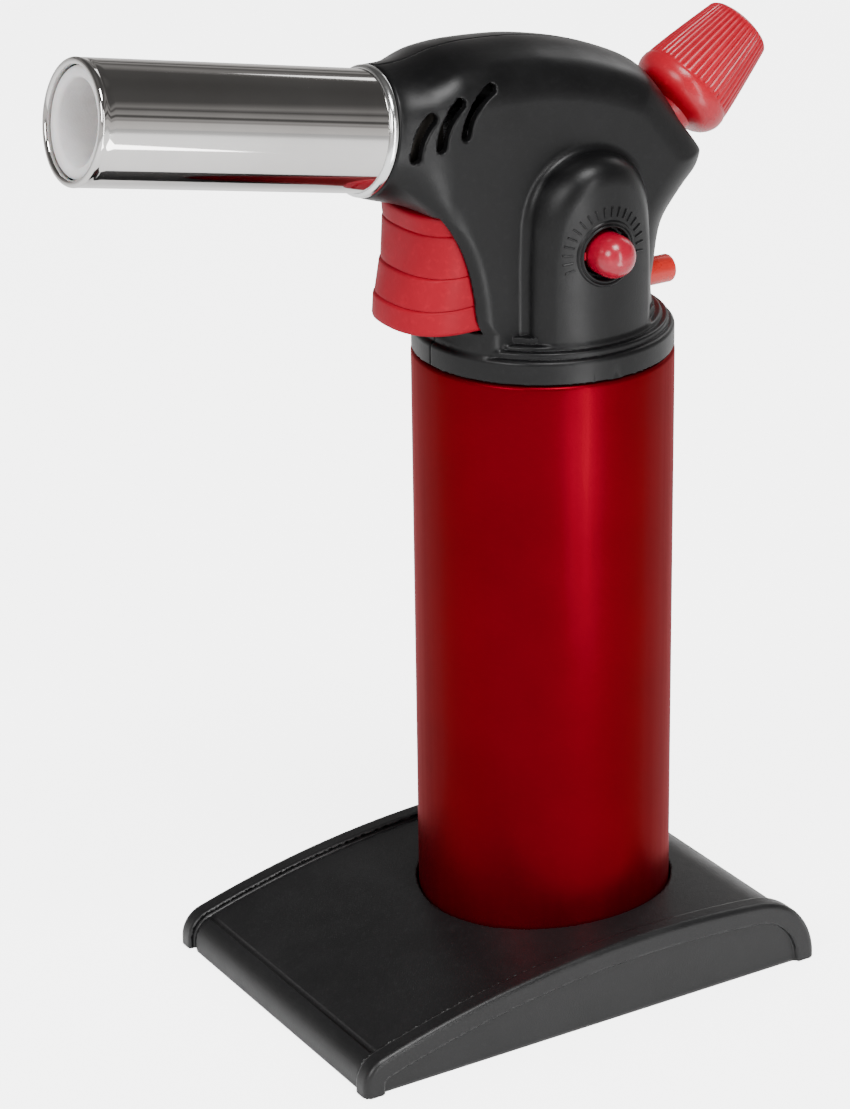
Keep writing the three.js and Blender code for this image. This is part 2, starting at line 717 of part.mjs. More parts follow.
function makeHousing() {
  const inner = insetOutline(HEAD_OUTLINE, WALL);
  const innerHalf = HEAD_HALF_WIDTH - WALL;
  const outside = joinAll([
    makeCollar(),
    sideSlab(aboveSeat(HEAD_OUTLINE), HEAD_HALF_WIDTH, HEAD_EDGE),
    dome(0),
    onNozzle(disc(BARREL_RADIUS, BURNER_START, RING_START - FIT)),
  ]);
  const neckRoom = disc(
    TANK_NECK_RADIUS + FIT,
    SEAT_Z - OVER,
    SEAT_Z + HEAD_FOOT + WALL + FIT,
  );
  const pocketTop = SEAT_Z + TRIGGER_BOTTOM + FIT + OVER / 4
    + TRIGGER_BANDS.reduce((sum, band) => sum + band.height, 0);
  const cavity = joinAll([
    sideSlab(aboveSeat(inner), innerHalf),
    dome(WALL),
    onNozzle(disc(SPIGOT_RADIUS + FIT, BURNER_START, RING_START + OVER)),
    neckRoom,
    block(
      -TRIGGER_BANDS[0].front - 10,
      -FRAME_FRONT,
      -innerHalf,
      innerHalf,
      SEAT_Z + POCKET_FLOOR,
      pocketTop,
    ),
  ]);
  const knobHole = onKnob(
    disc(KNOB_NECK_RADIUS + FIT, -KNOB_NECK_LENGTH - 2 * OVER, 0, 24),
  );
  const knobDish = onKnob(disc(KNOB_RECESS_RADIUS, -KNOB_RECESS_DEPTH, OVER));
  const dishBack = onKnob(
    disc(KNOB_RECESS_RADIUS + WALL, -KNOB_RECESS_DEPTH - WALL, WALL - KNOB_RECESS_DEPTH),
  );
  const bosses = joinAll(SCREWS.map(({ x, z }) => laid(
    disc(BOSS_RADIUS, -innerHalf - WALL / 2, innerHalf + WALL / 2, SMALL_ROUND),
    [x, 0, SEAT_Z + z],
    [0, 1, 0],
  )));
  const screwHoles = joinAll(SCREWS.map(({ x, z }) => laid(
    turned([
      [0, -HEAD_HALF_WIDTH + WALL + 1],
      [SCREW_RADIUS + FIT, -HEAD_HALF_WIDTH + WALL + 1],
      [SCREW_RADIUS + FIT, HEAD_HALF_WIDTH - SCREW_HEAD_HEIGHT - 1.3],
      [SCREW_HEAD_RADIUS + FIT, HEAD_HALF_WIDTH - SCREW_HEAD_HEIGHT - 1.3],
      [SCREW_HEAD_RADIUS + FIT, HEAD_HALF_WIDTH + OVER],
      [0, HEAD_HALF_WIDTH + OVER],
    ], SMALL_ROUND),
    [x, 0, SEAT_Z + z],
    [0, 1, 0],
  )));
  const lockHoles = laid(
    turned([
      [0, 0],
      [LOCK_STEM_RADIUS + FIT, 0],
      [LOCK_STEM_RADIUS + FIT, LOCK_CUP_FLOOR],
      [LOCK_RECESS_RADIUS, LOCK_CUP_FLOOR],
      [LOCK_RECESS_RADIUS, DOME_RADIUS + OVER],
      [0, DOME_RADIUS + OVER],
    ], 24),
    [0, 0, SEAT_Z + LOCK_ABOVE_SEAT],
    [0, -1, 0],
  );
  const lockCup = laid(
    ring(
      LOCK_RECESS_RADIUS + WALL,
      LOCK_STEM_RADIUS + FIT,
      LOCK_CUP_FLOOR - WALL,
      DOME_RADIUS - WALL / 2,
      24,
    ),
    [0, 0, SEAT_Z + LOCK_ABOVE_SEAT],
    [0, -1, 0],
  );
  const rearHole = laid(
    disc(REAR_BUTTON_RADIUS + FIT, REAR_BUTTON_INNER, REAR_BUTTON_END + OVER, SMALL_ROUND),
    [0, 0, SEAT_Z + REAR_BUTTON_ABOVE_SEAT],
    [1, 0, 0],
  );
  const vents = joinAll(Array.from({ length: VENTS }, (_, i) => makeVent(i)));
  return outside
    .subtract(cavity)
    .add(bosses.intersect(outside))
    .add(lockCup.intersect(outside))
    .add(dishBack.intersect(outside))
    .subtract(joinAll([knobDish, knobHole, screwHoles, lockHoles, rearHole, vents]));
}

function halfOf(made, side) {
  const reach = 200;
  const near = (side * SEAM) / 2;
  const far = side * reach;
  return made.intersect(
    block(-reach, reach, Math.min(near, far), Math.max(near, far), 0, 2 * reach),
  );
}

const housing = makeHousing();
piece('housing_left', blackPlastic, halfOf(housing, -1));
piece('housing_right', blackPlastic, halfOf(housing, 1));

function makeScrew() {
  const headBottom = HEAD_HALF_WIDTH - SCREW_HEAD_HEIGHT - 1.3 + FIT;
  return turned([
    [0, -HEAD_HALF_WIDTH + WALL + 1 + FIT],
    [SCREW_RADIUS, -HEAD_HALF_WIDTH + WALL + 1 + FIT],
    [SCREW_RADIUS, headBottom],
    [SCREW_HEAD_RADIUS, headBottom],
    [SCREW_HEAD_RADIUS, headBottom + SCREW_HEAD_HEIGHT],
    [0, headBottom + SCREW_HEAD_HEIGHT],
  ], SMALL_ROUND);
}

SCREWS.forEach(({ x, z }, i) => {
  piece(`housing_screw_${i + 1}`, steel, laid(makeScrew(), [x, 0, SEAT_Z + z], [0, 1, 0]));
});

// ---------------------------------------------------------------- nozzle and burner

function makeNozzleTube() {
  const bore = NOZZLE_RADIUS - NOZZLE_WALL;
  const shoulder = RING_START + RING_LENGTH + FIT;
  const lip = 0.7;
  return turned([
    [SPIGOT_RADIUS - NOZZLE_WALL, SPIGOT_START],
    [SPIGOT_RADIUS, SPIGOT_START],
    [SPIGOT_RADIUS, shoulder],
    [NOZZLE_RADIUS, shoulder],
    [NOZZLE_RADIUS, NOZZLE_END - lip],
    [NOZZLE_RADIUS - lip * 0.3, NOZZLE_END - lip * 0.3],
    [NOZZLE_RADIUS - lip, NOZZLE_END],
    [bore, NOZZLE_END],
    [bore, shoulder + NOZZLE_WALL],
    [SPIGOT_RADIUS - NOZZLE_WALL, shoulder + NOZZLE_WALL],
    [SPIGOT_RADIUS - NOZZLE_WALL, SPIGOT_START],
  ]);
}

function makeBurnerTube() {
  return ring(BURNER_RADIUS, BURNER_RADIUS - BURNER_WALL, BURNER_START, CUP_START + 3, 24);
}

const HOLDER_START = CUP_START + 3 + FIT;

function makeFlameHolder() {
  const plate = disc(CUP_BORE - FIT, HOLDER_START, HOLDER_START + HOLDER_THICKNESS, 24);
  const holeCount = 6;
  const holeCircle = 3.4;
  const holes = Array.from({ length: holeCount }, (_, i) => {
    const angle = (2 * Math.PI * i) / holeCount;
    const hole = disc(0.9, HOLDER_START - OVER, HOLDER_START + HOLDER_THICKNESS + OVER, 8);
    return shifted(hole, holeCircle * Math.cos(angle), holeCircle * Math.sin(angle), 0);
  });
  const notch = shifted(
    disc(ELECTRODE_RADIUS + 2 * FIT, HOLDER_START - OVER, HOLDER_START + HOLDER_THICKNESS + OVER, 10),
    -ELECTRODE_OFFSET,
    0,
    0,
  );
  return plate.subtract(joinAll([...holes, notch]));
}

function makeJet() {
  return turned([
    [0.5, JET_START],
    [JET_RADIUS, JET_START],
    [JET_RADIUS, BURNER_START - 2],
    [1.4, BURNER_START - FIT],
    [0.5, BURNER_START - FIT],
    [0.5, JET_START],
  ], SMALL_ROUND);
}

// The electrode and its insulator lie below the burner tube, in the local frame of the axis.
function below(made) {
  return shifted(made, -ELECTRODE_OFFSET, 0, 0);
}

piece('nozzle_tube', chrome, onNozzle(makeNozzleTube()));
piece('nozzle_ring', chrome, onNozzle(
  ring(RING_RADIUS, SPIGOT_RADIUS + FIT, RING_START, RING_START + RING_LENGTH),
));
piece('ceramic_cup', ceramic, onNozzle(
  ring(CUP_RADIUS, CUP_BORE, CUP_START, NOZZLE_END - CUP_RECESS),
));
piece('burner_tube', steel, onNozzle(makeBurnerTube()));
piece('flame_holder', brass, onNozzle(makeFlameHolder()));
piece('gas_jet', brass, onNozzle(makeJet()));
piece('electrode', steel, onNozzle(
  below(disc(ELECTRODE_RADIUS, INSULATOR_START, ELECTRODE_END, 8)),
));
piece('electrode_insulator', ceramic, onNozzle(
  below(ring(INSULATOR_RADIUS, ELECTRODE_RADIUS + FIT, INSULATOR_START + 1, CUP_START - 2, 12)),
));

// ---------------------------------------------------------------- gas knob and flow valve

function makeKnob() {
  const points = [
    [0, -KNOB_RIM],
    [KNOB_NARROW_RADIUS, -KNOB_RIM],
    [KNOB_WIDE_RADIUS - 1.4, -KNOB_RIM / 2],
    [KNOB_WIDE_RADIUS - 0.3, 0],
    [KNOB_WIDE_RADIUS, KNOB_BAND / 2],
    [KNOB_WIDE_RADIUS - FLUTE_DEPTH, KNOB_BAND],
    [KNOB_NARROW_RADIUS, KNOB_LENGTH - 1],
    [KNOB_NARROW_RADIUS - 1.2, KNOB_LENGTH],
    [0, KNOB_LENGTH],
  ];
  const body = turned(points);
  const slope = Math.atan2(
    KNOB_WIDE_RADIUS - FLUTE_DEPTH - KNOB_NARROW_RADIUS,
    KNOB_LENGTH - 1 - KNOB_BAND,
  );
  const fluteLength = (KNOB_LENGTH - KNOB_BAND) / Math.cos(slope) + OVER;
  const flutes = Array.from({ length: KNOB_FLUTES }, (_, i) => {
    const cutter = disc(FLUTE_DEPTH, 0, fluteLength, 4);
    const lean = new THREE.Matrix4().makeRotationY(-slope);
    const out = new THREE.Matrix4().makeTranslation(KNOB_WIDE_RADIUS - FLUTE_DEPTH, 0, KNOB_BAND);
    const round = new THREE.Matrix4().makeRotationZ((2 * Math.PI * i) / KNOB_FLUTES);
    return placed(cutter, round.multiply(out).multiply(lean));
  });
  const socket = disc(SPINDLE_RADIUS + FIT, -KNOB_NECK_LENGTH - OVER, 9, SMALL_ROUND);
  return body
    .subtract(joinAll(flutes))
    .add(disc(KNOB_NECK_RADIUS, -KNOB_NECK_LENGTH, 0, 24))
    .subtract(socket);
}

const GLAND_TOP = -KNOB_NECK_LENGTH - FIT;
const FLOW_TOP = GLAND_TOP - GLAND_LENGTH - FIT;
const FLOW_BOTTOM = FLOW_TOP - FLOW_BODY_LENGTH;

function makeFlowBody() {
  return turned([
    [0, FLOW_BOTTOM],
    [FLOW_BODY_RADIUS, FLOW_BOTTOM],
    [FLOW_BODY_RADIUS, FLOW_TOP],
    [SPINDLE_RADIUS + FIT, FLOW_TOP],
    [SPINDLE_RADIUS + FIT, FLOW_BOTTOM + 3],
    [0, FLOW_BOTTOM + 3],
  ], 24);
}

function makeSpindle() {
  const tip = FLOW_BOTTOM + 3 + FIT;
  return turned([
    [0, tip],
    [0.5, tip],
    [SPINDLE_RADIUS, tip + 3],
    [SPINDLE_RADIUS, 9 - FIT],
    [0, 9 - FIT],
  ], SMALL_ROUND);
}

piece('gas_knob', redPlastic, onKnob(makeKnob()));
piece('needle_spindle', brass, onKnob(makeSpindle()));
piece('spindle_gland', brass, onKnob(
  ring(FLOW_BODY_RADIUS - 0.6, SPINDLE_RADIUS + FIT, GLAND_TOP - GLAND_LENGTH, GLAND_TOP, 6),
));
piece('flow_valve_body', brass, onKnob(makeFlowBody()));

// ---------------------------------------------------------------- gas tubes and ignition lead

const TUBE_RADIUS = 0.8;
const TUBE_Y = 8.2;
const flowSide = offAxis(KNOB_SEAT, KNOB_DIRECTION, FLOW_TOP - 5, 0);
const flowTopSide = offAxis(
  KNOB_SEAT,
  KNOB_DIRECTION,
  FLOW_BOTTOM + 4,
  FLOW_BODY_RADIUS + FIT,
);
const jetBack = offAxis(NOZZLE_CROSSING, NOZZLE_DIRECTION, JET_START - FIT, 0);

function makeSupplyTube() {
  const z = VALVE_TOP_Z - 1.2;
  return wire([
    [0, VALVE_TOP_RADIUS + FIT, z],
    [0, TUBE_Y - 1, z + 0.2],
    [0, TUBE_Y, z + 2],
    [0, TUBE_Y, z + 11],
    [4, TUBE_Y, SEAT_Z + 27.5],
    [flowSide[0] - 3, TUBE_Y + 0.2, flowSide[2] - 1.5],
    [flowSide[0], TUBE_Y - 1, flowSide[2]],
    [flowSide[0], FLOW_BODY_RADIUS + FIT, flowSide[2]],
  ], TUBE_RADIUS, 24);
}

function makeJetTube() {
  const [fx, , fz] = flowTopSide;
  const [jx, , jz] = jetBack;
  return wire([
    [fx, 0, fz],
    [fx - 1.4, 0, fz + 1.8],
    [fx - 5.5, 0, fz + 3],
    [(fx + jx) / 2, 0, (fz + jz) / 2 + 2],
    [jx + 2.5, 0, jz - 0.5],
    [jx, 0, jz],
  ], TUBE_RADIUS, 16);
}

function makeLead() {
  const z = SEAT_Z + PIEZO_HEIGHT;
  const rear = PIEZO_LENGTH - PIEZO_START + FIT;
  const [ex, , ez] = offAxis(
    NOZZLE_CROSSING,
    NOZZLE_DIRECTION,
    INSULATOR_START - FIT,
    ELECTRODE_OFFSET,
  );
  return wire([
    [rear, 0, z],
    [rear + 1.2, 0, z],
    [rear + 2.2, -2.4, z + 1.5],
    [rear + 1, -6, z + 4.5],
    [0, -7.4, z + 9],
    [ex + 10, -5, ez - 1],
    [ex + 3.2, -0.8, ez - 0.5],
    [ex, 0, ez],
  ], 0.7, 22);
}

piece('supply_tube', brass, makeSupplyTube());
piece('jet_tube', brass, makeJetTube());
piece('ignition_lead', rubber, makeLead());

// ---------------------------------------------------------------- trigger

// The trigger's plan view: straight sides that curve in to a round front.
function triggerOutline(front, half, rear) {
  const outline = [[-rear, -half], [-rear, half]];
  const steps = 10;
  for (let i = 0; i <= steps; i += 1) {
    const angle = (Math.PI * i) / steps;
    const bulge = Math.abs(Math.cos(angle)) ** 0.8 * Math.sign(Math.cos(angle));
    outline.push([
      -TRIGGER_SIDE_END - (front - TRIGGER_SIDE_END) * Math.sin(angle),
      half * bulge,
    ]);
  }
  return outline;
}

function makeTrigger() {
  let z = SEAT_Z + TRIGGER_BOTTOM;
  const bottom = z;
  const bands = TRIGGER_BANDS.map(({ height, front }) => {
    const slab = planSlab(
      triggerOutline(front, TRIGGER_HALF_WIDTH, TRIGGER_REAR),
      z,
      z + height + 0.01,
    );
    z += height;
    return slab;
  });
  const top = z;
  const thinnest = Math.min(...TRIGGER_BANDS.map((band) => band.front));
  const hollow = planSlab(
    triggerOutline(thinnest - TRIGGER_WALL, TRIGGER_HALF_WIDTH - TRIGGER_WALL, TRIGGER_REAR - OVER),
    bottom + TRIGGER_WALL,
    top - TRIGGER_WALL,
  );
  const inner = -thinnest + TRIGGER_WALL;
  const reach = LEVER_X - LEVER_ARM - TRIGGER_TRAVEL - 2 * FIT;
  const legs = [-1, 1].map((side) => block(
    inner,
    reach,
    side > 0 ? TRIGGER_LEG_INNER : -TRIGGER_LEG_OUTER,
    side > 0 ? TRIGGER_LEG_OUTER : -TRIGGER_LEG_INNER,
    SEAT_Z + TRIGGER_LEG_BOTTOM,
    SEAT_Z + TRIGGER_LEG_TOP,
  ));
  const bridge = block(
    inner - TRIGGER_WALL / 2,
    inner + TRIGGER_WALL,
    -TRIGGER_LEG_OUTER,
    TRIGGER_LEG_OUTER,
    SEAT_Z + TRIGGER_LEG_BOTTOM,
    SEAT_Z + TRIGGER_LEG_TOP,
  );
  const frameRoom = block(
    -FRAME_FRONT - TRIGGER_TRAVEL - FIT,
    OVER - TRIGGER_REAR + OVER,
    -FRAME_HALF_WIDTH - FIT,
    FRAME_HALF_WIDTH + FIT,
    bottom - OVER,
    top + OVER,
  );
  return joinAll(bands)
    .subtract(hollow)
    .subtract(frameRoom)
    .add(joinAll([...legs, bridge]));
}

const TRIGGER_FACE = -Math.min(...TRIGGER_BANDS.map((band) => band.front)) + TRIGGER_WALL;

piece('trigger', redPlastic, makeTrigger());

// ---------------------------------------------------------------- frame, piezo unit and lever

function makeFrame() {
  const floorBottom = VALVE_FLANGE_Z + VALVE_FLANGE_THICKNESS + FIT;
  const floorTop = floorBottom + 1.4;
  const half = FRAME_HALF_WIDTH;
  const floor = block(-FRAME_FRONT, FRAME_REAR, -half, half, floorBottom, floorTop);
  const wall = block(
    -FRAME_FRONT,
    -FRAME_FRONT + FRAME_WALL,
    -half,
    half,
    floorBottom,
    floorBottom + FRAME_HEIGHT,
  );
  const ears = [-1, 1].map((side) => block(
    LEVER_X - 2.6,
    FRAME_REAR,
    side > 0 ? LEVER_HALF_WIDTH + 1.2 : -half,
    side > 0 ? half : -LEVER_HALF_WIDTH - 1.2,
    floorTop - 0.1,
    SEAT_Z + LEVER_ABOVE_SEAT + 3,
  ));
  const shelfTop = SEAT_Z + PIEZO_HEIGHT - PIEZO_HALF - FIT;
  const shelf = block(
    -FRAME_FRONT + 0.1,
    PIEZO_LENGTH - PIEZO_START - 6,
    -3.9,
    3.9,
    shelfTop - 1.2,
    shelfTop,
  );
  const valveHole = disc(VALVE_TOP_RADIUS + FIT, floorBottom - OVER, floorTop + OVER, 24);
  const tubeHole = block(-1.4, 1.4, 0, half - 0.8, floorBottom - OVER, floorTop + OVER);
  const plungerHole = laid(
    disc(PLUNGER_RADIUS + FIT, -OVER - FRAME_WALL, OVER + FRAME_WALL, SMALL_ROUND),
    [-FRAME_FRONT, 0, SEAT_Z + PIEZO_HEIGHT],
    [1, 0, 0],
  );
  const legSlots = [-1, 1].map((side) => block(
    -FRAME_FRONT - OVER,
    -FRAME_FRONT + FRAME_WALL + OVER,
    side > 0 ? TRIGGER_LEG_INNER - FIT : -TRIGGER_LEG_OUTER - FIT,
    side > 0 ? TRIGGER_LEG_OUTER + FIT : -TRIGGER_LEG_INNER + FIT,
    SEAT_Z + TRIGGER_LEG_BOTTOM - FIT,
    SEAT_Z + TRIGGER_LEG_TOP + FIT,
  ));
  const pinHole = laid(
    disc(PIN_RADIUS + FIT, -half - OVER, half + OVER, 12),
    [LEVER_X, 0, SEAT_Z + LEVER_ABOVE_SEAT],
    [0, 1, 0],
  );
  const rearStemRoom = laid(
    disc(REAR_STEM_RADIUS + FIT, REAR_GUIDE - REAR_BUTTON_TRAVEL - FIT, FRAME_REAR + OVER, SMALL_ROUND),
    [0, 0, SEAT_Z + REAR_BUTTON_ABOVE_SEAT],
    [1, 0, 0],
  );
  return joinAll([floor, wall, shelf, ...ears])
    .subtract(joinAll([valveHole, tubeHole, plungerHole, pinHole, rearStemRoom, ...legSlots]));
}

function makePiezoBody() {
  const z = SEAT_Z + PIEZO_HEIGHT;
  const case_ = block(
    -PIEZO_START,
    PIEZO_LENGTH - PIEZO_START,
    -PIEZO_HALF,
    PIEZO_HALF,
    z - PIEZO_HALF,
    z + PIEZO_HALF,
  );
  const bore = laid(disc(PLUNGER_RADIUS + FIT, -OVER, 12, SMALL_ROUND), [-PIEZO_START, 0, z], [1, 0, 0]);
  return case_.subtract(bore);
}

function makePlunger() {
  const start = TRIGGER_FACE + FIT;
  const length = -PIEZO_START + 4 - start;
  return laid(
    disc(PLUNGER_RADIUS, 0, length, SMALL_ROUND),
    [start, 0, SEAT_Z + PIEZO_HEIGHT],
    [1, 0, 0],
  );
}

function makeTriggerSpring() {
  const end = -FRAME_FRONT - FIT;
  const pressedFace = TRIGGER_FACE + TRIGGER_TRAVEL + FIT;
  return laid(
    ring(PLUNGER_RADIUS + FIT + 1, PLUNGER_RADIUS + FIT, 0, end - pressedFace, SMALL_ROUND),
    [pressedFace, 0, SEAT_Z + PIEZO_HEIGHT],
    [1, 0, 0],
  );
}

function makeLever() {
  const z = SEAT_Z + LEVER_ABOVE_SEAT;
  const hub = laid(
    disc(2.2, -LEVER_HALF_WIDTH, LEVER_HALF_WIDTH, SMALL_ROUND),
    [LEVER_X, 0, z],
    [0, 1, 0],
  );
  const tineTop = STEM_HEAD_Z - FIT;
  const tines = [-1, 1].map((side) => block(
    -3.4,
    LEVER_X - 1,
    side > 0 ? STEM_RADIUS + FIT : -3.9,
    side > 0 ? 3.9 : -STEM_RADIUS - FIT,
    tineTop - 1.4,
    tineTop,
  ));
  const arm = block(
    LEVER_X - LEVER_ARM,
    LEVER_X,
    -LEVER_HALF_WIDTH,
    LEVER_HALF_WIDTH,
    z,
    SEAT_Z + LEVER_TOP,
  );
  const bore = laid(
    disc(PIN_RADIUS + FIT, -LEVER_HALF_WIDTH - OVER, LEVER_HALF_WIDTH + OVER, 12),
    [LEVER_X, 0, z],
    [0, 1, 0],
  );
  return joinAll([hub, arm, ...tines]).subtract(bore);
}

piece('inner_frame', framePlastic, makeFrame());
piece('piezo_body', framePlastic, makePiezoBody());
piece('piezo_plunger', steel, makePlunger());
piece('trigger_spring', steel, makeTriggerSpring());
piece('gas_lever', steel, makeLever());
piece('lever_pin', steel, laid(
  disc(PIN_RADIUS, -FRAME_HALF_WIDTH, FRAME_HALF_WIDTH, 12),
  [LEVER_X, 0, SEAT_Z + LEVER_ABOVE_SEAT],
  [0, 1, 0],
));

// ---------------------------------------------------------------- buttons

// The lock button and what is on it lie along -Y from the tank axis.
function onLock(made) {
  return laid(made, [0, 0, SEAT_Z + LOCK_ABOVE_SEAT], [0, -1, 0]);
}


function makeLockButton() {
  const centre = DOME_RADIUS + LOCK_PROUD;
  const back = LOCK_CUP_FLOOR + SPRING_SOLID + LOCK_TRAVEL + FIT;
  const groove = LOCK_STEM_RADIUS - 0.4 - FIT;
  const clipTop = LOCK_CUP_BACK;
  const clipBottom = clipTop - CLIP - 2 * FIT;
  const profile = [
    [0, LOCK_STEM_END],
    [LOCK_STEM_RADIUS, LOCK_STEM_END],
    [LOCK_STEM_RADIUS, clipBottom],
    [groove, clipBottom],
    [groove, clipTop],
    [LOCK_STEM_RADIUS, clipTop],
    [LOCK_STEM_RADIUS, back],
    [LOCK_RADIUS, back],
  ];
  const steps = 6;
  for (let i = 0; i <= steps; i += 1) {
    const angle = (Math.PI / 2) * (i / steps);
    profile.push([LOCK_RADIUS * Math.cos(angle), centre + LOCK_RADIUS * Math.sin(angle)]);
  }
  profile[profile.length - 1][0] = 0;
  const key = block(
    -LOCK_RADIUS - 1.1,
    -LOCK_RADIUS + 1,
    -DOME_RADIUS - 0.6,
    -back,
    SEAT_Z + LOCK_ABOVE_SEAT - 0.8,
    SEAT_Z + LOCK_ABOVE_SEAT + 0.8,
  );
  return onLock(turned(profile, 24)).add(key);
}

function makeLockSpring() {
  const bottom = LOCK_CUP_FLOOR + FIT;
  return onLock(ring(
    LOCK_STEM_RADIUS + FIT + 0.9,
    LOCK_STEM_RADIUS + FIT,
    bottom,
    LOCK_CUP_FLOOR + SPRING_SOLID,
    SMALL_ROUND,
  ));
}

// A clip on the button's stem that keeps the button in its hole.
function makeLockClip() {
  const top = LOCK_CUP_BACK - FIT;
  return onLock(ring(LOCK_STEM_RADIUS + 1.8, LOCK_STEM_RADIUS - 0.4, top - CLIP, top, SMALL_ROUND));
}

piece('lock_button', buttonRed, makeLockButton());
piece('lock_button_spring', steel, makeLockSpring());
piece('lock_button_clip', steel, makeLockClip());

function onRearButton(made) {
  return laid(made, [0, 0, SEAT_Z + REAR_BUTTON_ABOVE_SEAT], [1, 0, 0]);
}

function makeRearButton() {
  const round = 1;
  return onRearButton(turned([
    [0, REAR_GUIDE],
    [REAR_STEM_RADIUS, REAR_GUIDE],
    [REAR_STEM_RADIUS, REAR_BUTTON_INNER],
    [REAR_CLIP_RADIUS, REAR_BUTTON_INNER],
    [REAR_CLIP_RADIUS, REAR_BUTTON_INNER + 1],
    [REAR_BUTTON_RADIUS, REAR_BUTTON_INNER + 1],
    [REAR_BUTTON_RADIUS, REAR_BUTTON_END - round],
    [REAR_BUTTON_RADIUS - round * 0.3, REAR_BUTTON_END - round * 0.3],
    [REAR_BUTTON_RADIUS - round, REAR_BUTTON_END],
    [0, REAR_BUTTON_END],
  ], 20));
}

function makeRearSpring() {
  return onRearButton(ring(
    REAR_STEM_RADIUS + FIT + 0.9,
    REAR_STEM_RADIUS + FIT,
    REAR_BUTTON_INNER - REAR_BUTTON_TRAVEL - SPRING_SOLID,
    REAR_BUTTON_INNER - REAR_BUTTON_TRAVEL - FIT,
    SMALL_ROUND,
  ));
}

piece('rear_button', buttonRed, makeRearButton());
piece('rear_button_spring', steel, makeRearSpring());

export default torch;
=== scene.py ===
import json
import math

import bmesh
import bpy
import numpy as np
from mathutils import Matrix, Vector


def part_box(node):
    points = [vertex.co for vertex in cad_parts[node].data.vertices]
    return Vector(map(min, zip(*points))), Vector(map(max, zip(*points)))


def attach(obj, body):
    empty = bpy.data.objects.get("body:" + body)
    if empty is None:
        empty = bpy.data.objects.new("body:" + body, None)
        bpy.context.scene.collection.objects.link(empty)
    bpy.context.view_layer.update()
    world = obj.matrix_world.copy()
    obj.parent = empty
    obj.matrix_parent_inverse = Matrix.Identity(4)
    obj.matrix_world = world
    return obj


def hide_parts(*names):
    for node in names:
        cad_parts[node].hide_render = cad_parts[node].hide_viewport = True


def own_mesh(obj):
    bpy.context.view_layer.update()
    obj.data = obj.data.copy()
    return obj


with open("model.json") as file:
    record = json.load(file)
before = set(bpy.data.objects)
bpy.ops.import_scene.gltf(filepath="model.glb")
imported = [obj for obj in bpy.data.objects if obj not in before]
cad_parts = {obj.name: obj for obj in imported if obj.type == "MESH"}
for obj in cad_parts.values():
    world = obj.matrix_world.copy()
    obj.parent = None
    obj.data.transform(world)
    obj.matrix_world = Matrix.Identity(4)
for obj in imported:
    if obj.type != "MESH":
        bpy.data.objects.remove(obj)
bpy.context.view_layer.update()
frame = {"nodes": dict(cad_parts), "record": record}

NODES = frame["nodes"]
MM = 0.001


def box_mm(node):
    """A CAD node's box in millimetres, with x measured from the tank axis."""
    low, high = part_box(node)
    return (
        np.array(low) * 1000 - np.array([AXIS_X, 0, 0]),
        np.array(high) * 1000 - np.array([AXIS_X, 0, 0]),
    )


_tank_low, _tank_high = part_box("tank_body")
AXIS_X = 500 * (_tank_low.x + _tank_high.x)
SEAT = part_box("housing_left")[0].z * 1000  # underside of the collar
TANK_FOOT = _tank_low.z * 1000
TANK_RADIUS = 500 * (_tank_high.x - _tank_low.x)
NOZZLE_TILT = math.radians(10.68)
NOZZLE_ABOVE_SEAT = 40.82
NOZZLE_RADIUS = 11.41
NOZZLE_END = 99.7
KNOB_TILT = math.radians(38.8)
KNOB_X, KNOB_ABOVE_SEAT = 29.9, 43.3
LOCK_ABOVE_SEAT = 24.6
BALL_ABOVE_SEAT = 23.7  # the ball sits a little low on its stem
DOME_RADIUS = 22.5


# ---------------------------------------------------------------- camera, light, floor

FOCAL_PX = 3768.44
FRAME_LONG_SIDE = 1109
YAW, PITCH, ROLL = map(math.radians, (-30.97, 22.49, -0.85))


def make_camera():
    back = Vector((math.sin(YAW) * math.cos(PITCH), -math.cos(YAW) * math.cos(PITCH), math.sin(PITCH)))
    right = Vector((math.cos(YAW), math.sin(YAW), 0))
    up = back.cross(right)
    turned_right = math.cos(ROLL) * right + math.sin(ROLL) * up
    turned_up = -math.sin(ROLL) * right + math.cos(ROLL) * up
    data = bpy.data.cameras.new("camera")
    data.sensor_width = 36
    data.lens = data.sensor_width * FOCAL_PX / FRAME_LONG_SIDE
    data.clip_end = 20
    camera = bpy.data.objects.new("camera", data)
    bpy.context.scene.collection.objects.link(camera)
    camera.matrix_world = Matrix.Translation((-0.34795, -0.57726, 0.36972)) @ Matrix(
        (turned_right, turned_up, back)
    ).transposed().to_4x4()
    bpy.context.scene.camera = camera
    return camera


def area_light(name, place, aim, size, power, size_y=None, colour=(1, 1, 1), spread=180):
    data = bpy.data.lights.new(name, "AREA")
    data.shape = "RECTANGLE"
    data.size, data.size_y = size, size_y or size
    data.energy = power
    data.color = colour
    data.spread = math.radians(spread)
    light = bpy.data.objects.new(name, data)
    bpy.context.scene.collection.objects.link(light)
    light.location = place
    light.rotation_mode = "QUATERNION"
    light.rotation_quaternion = (Vector(aim) - Vector(place)).to_track_quat("-Z", "Y")
    return light


# ---------------------------------------------------------------- material nodes


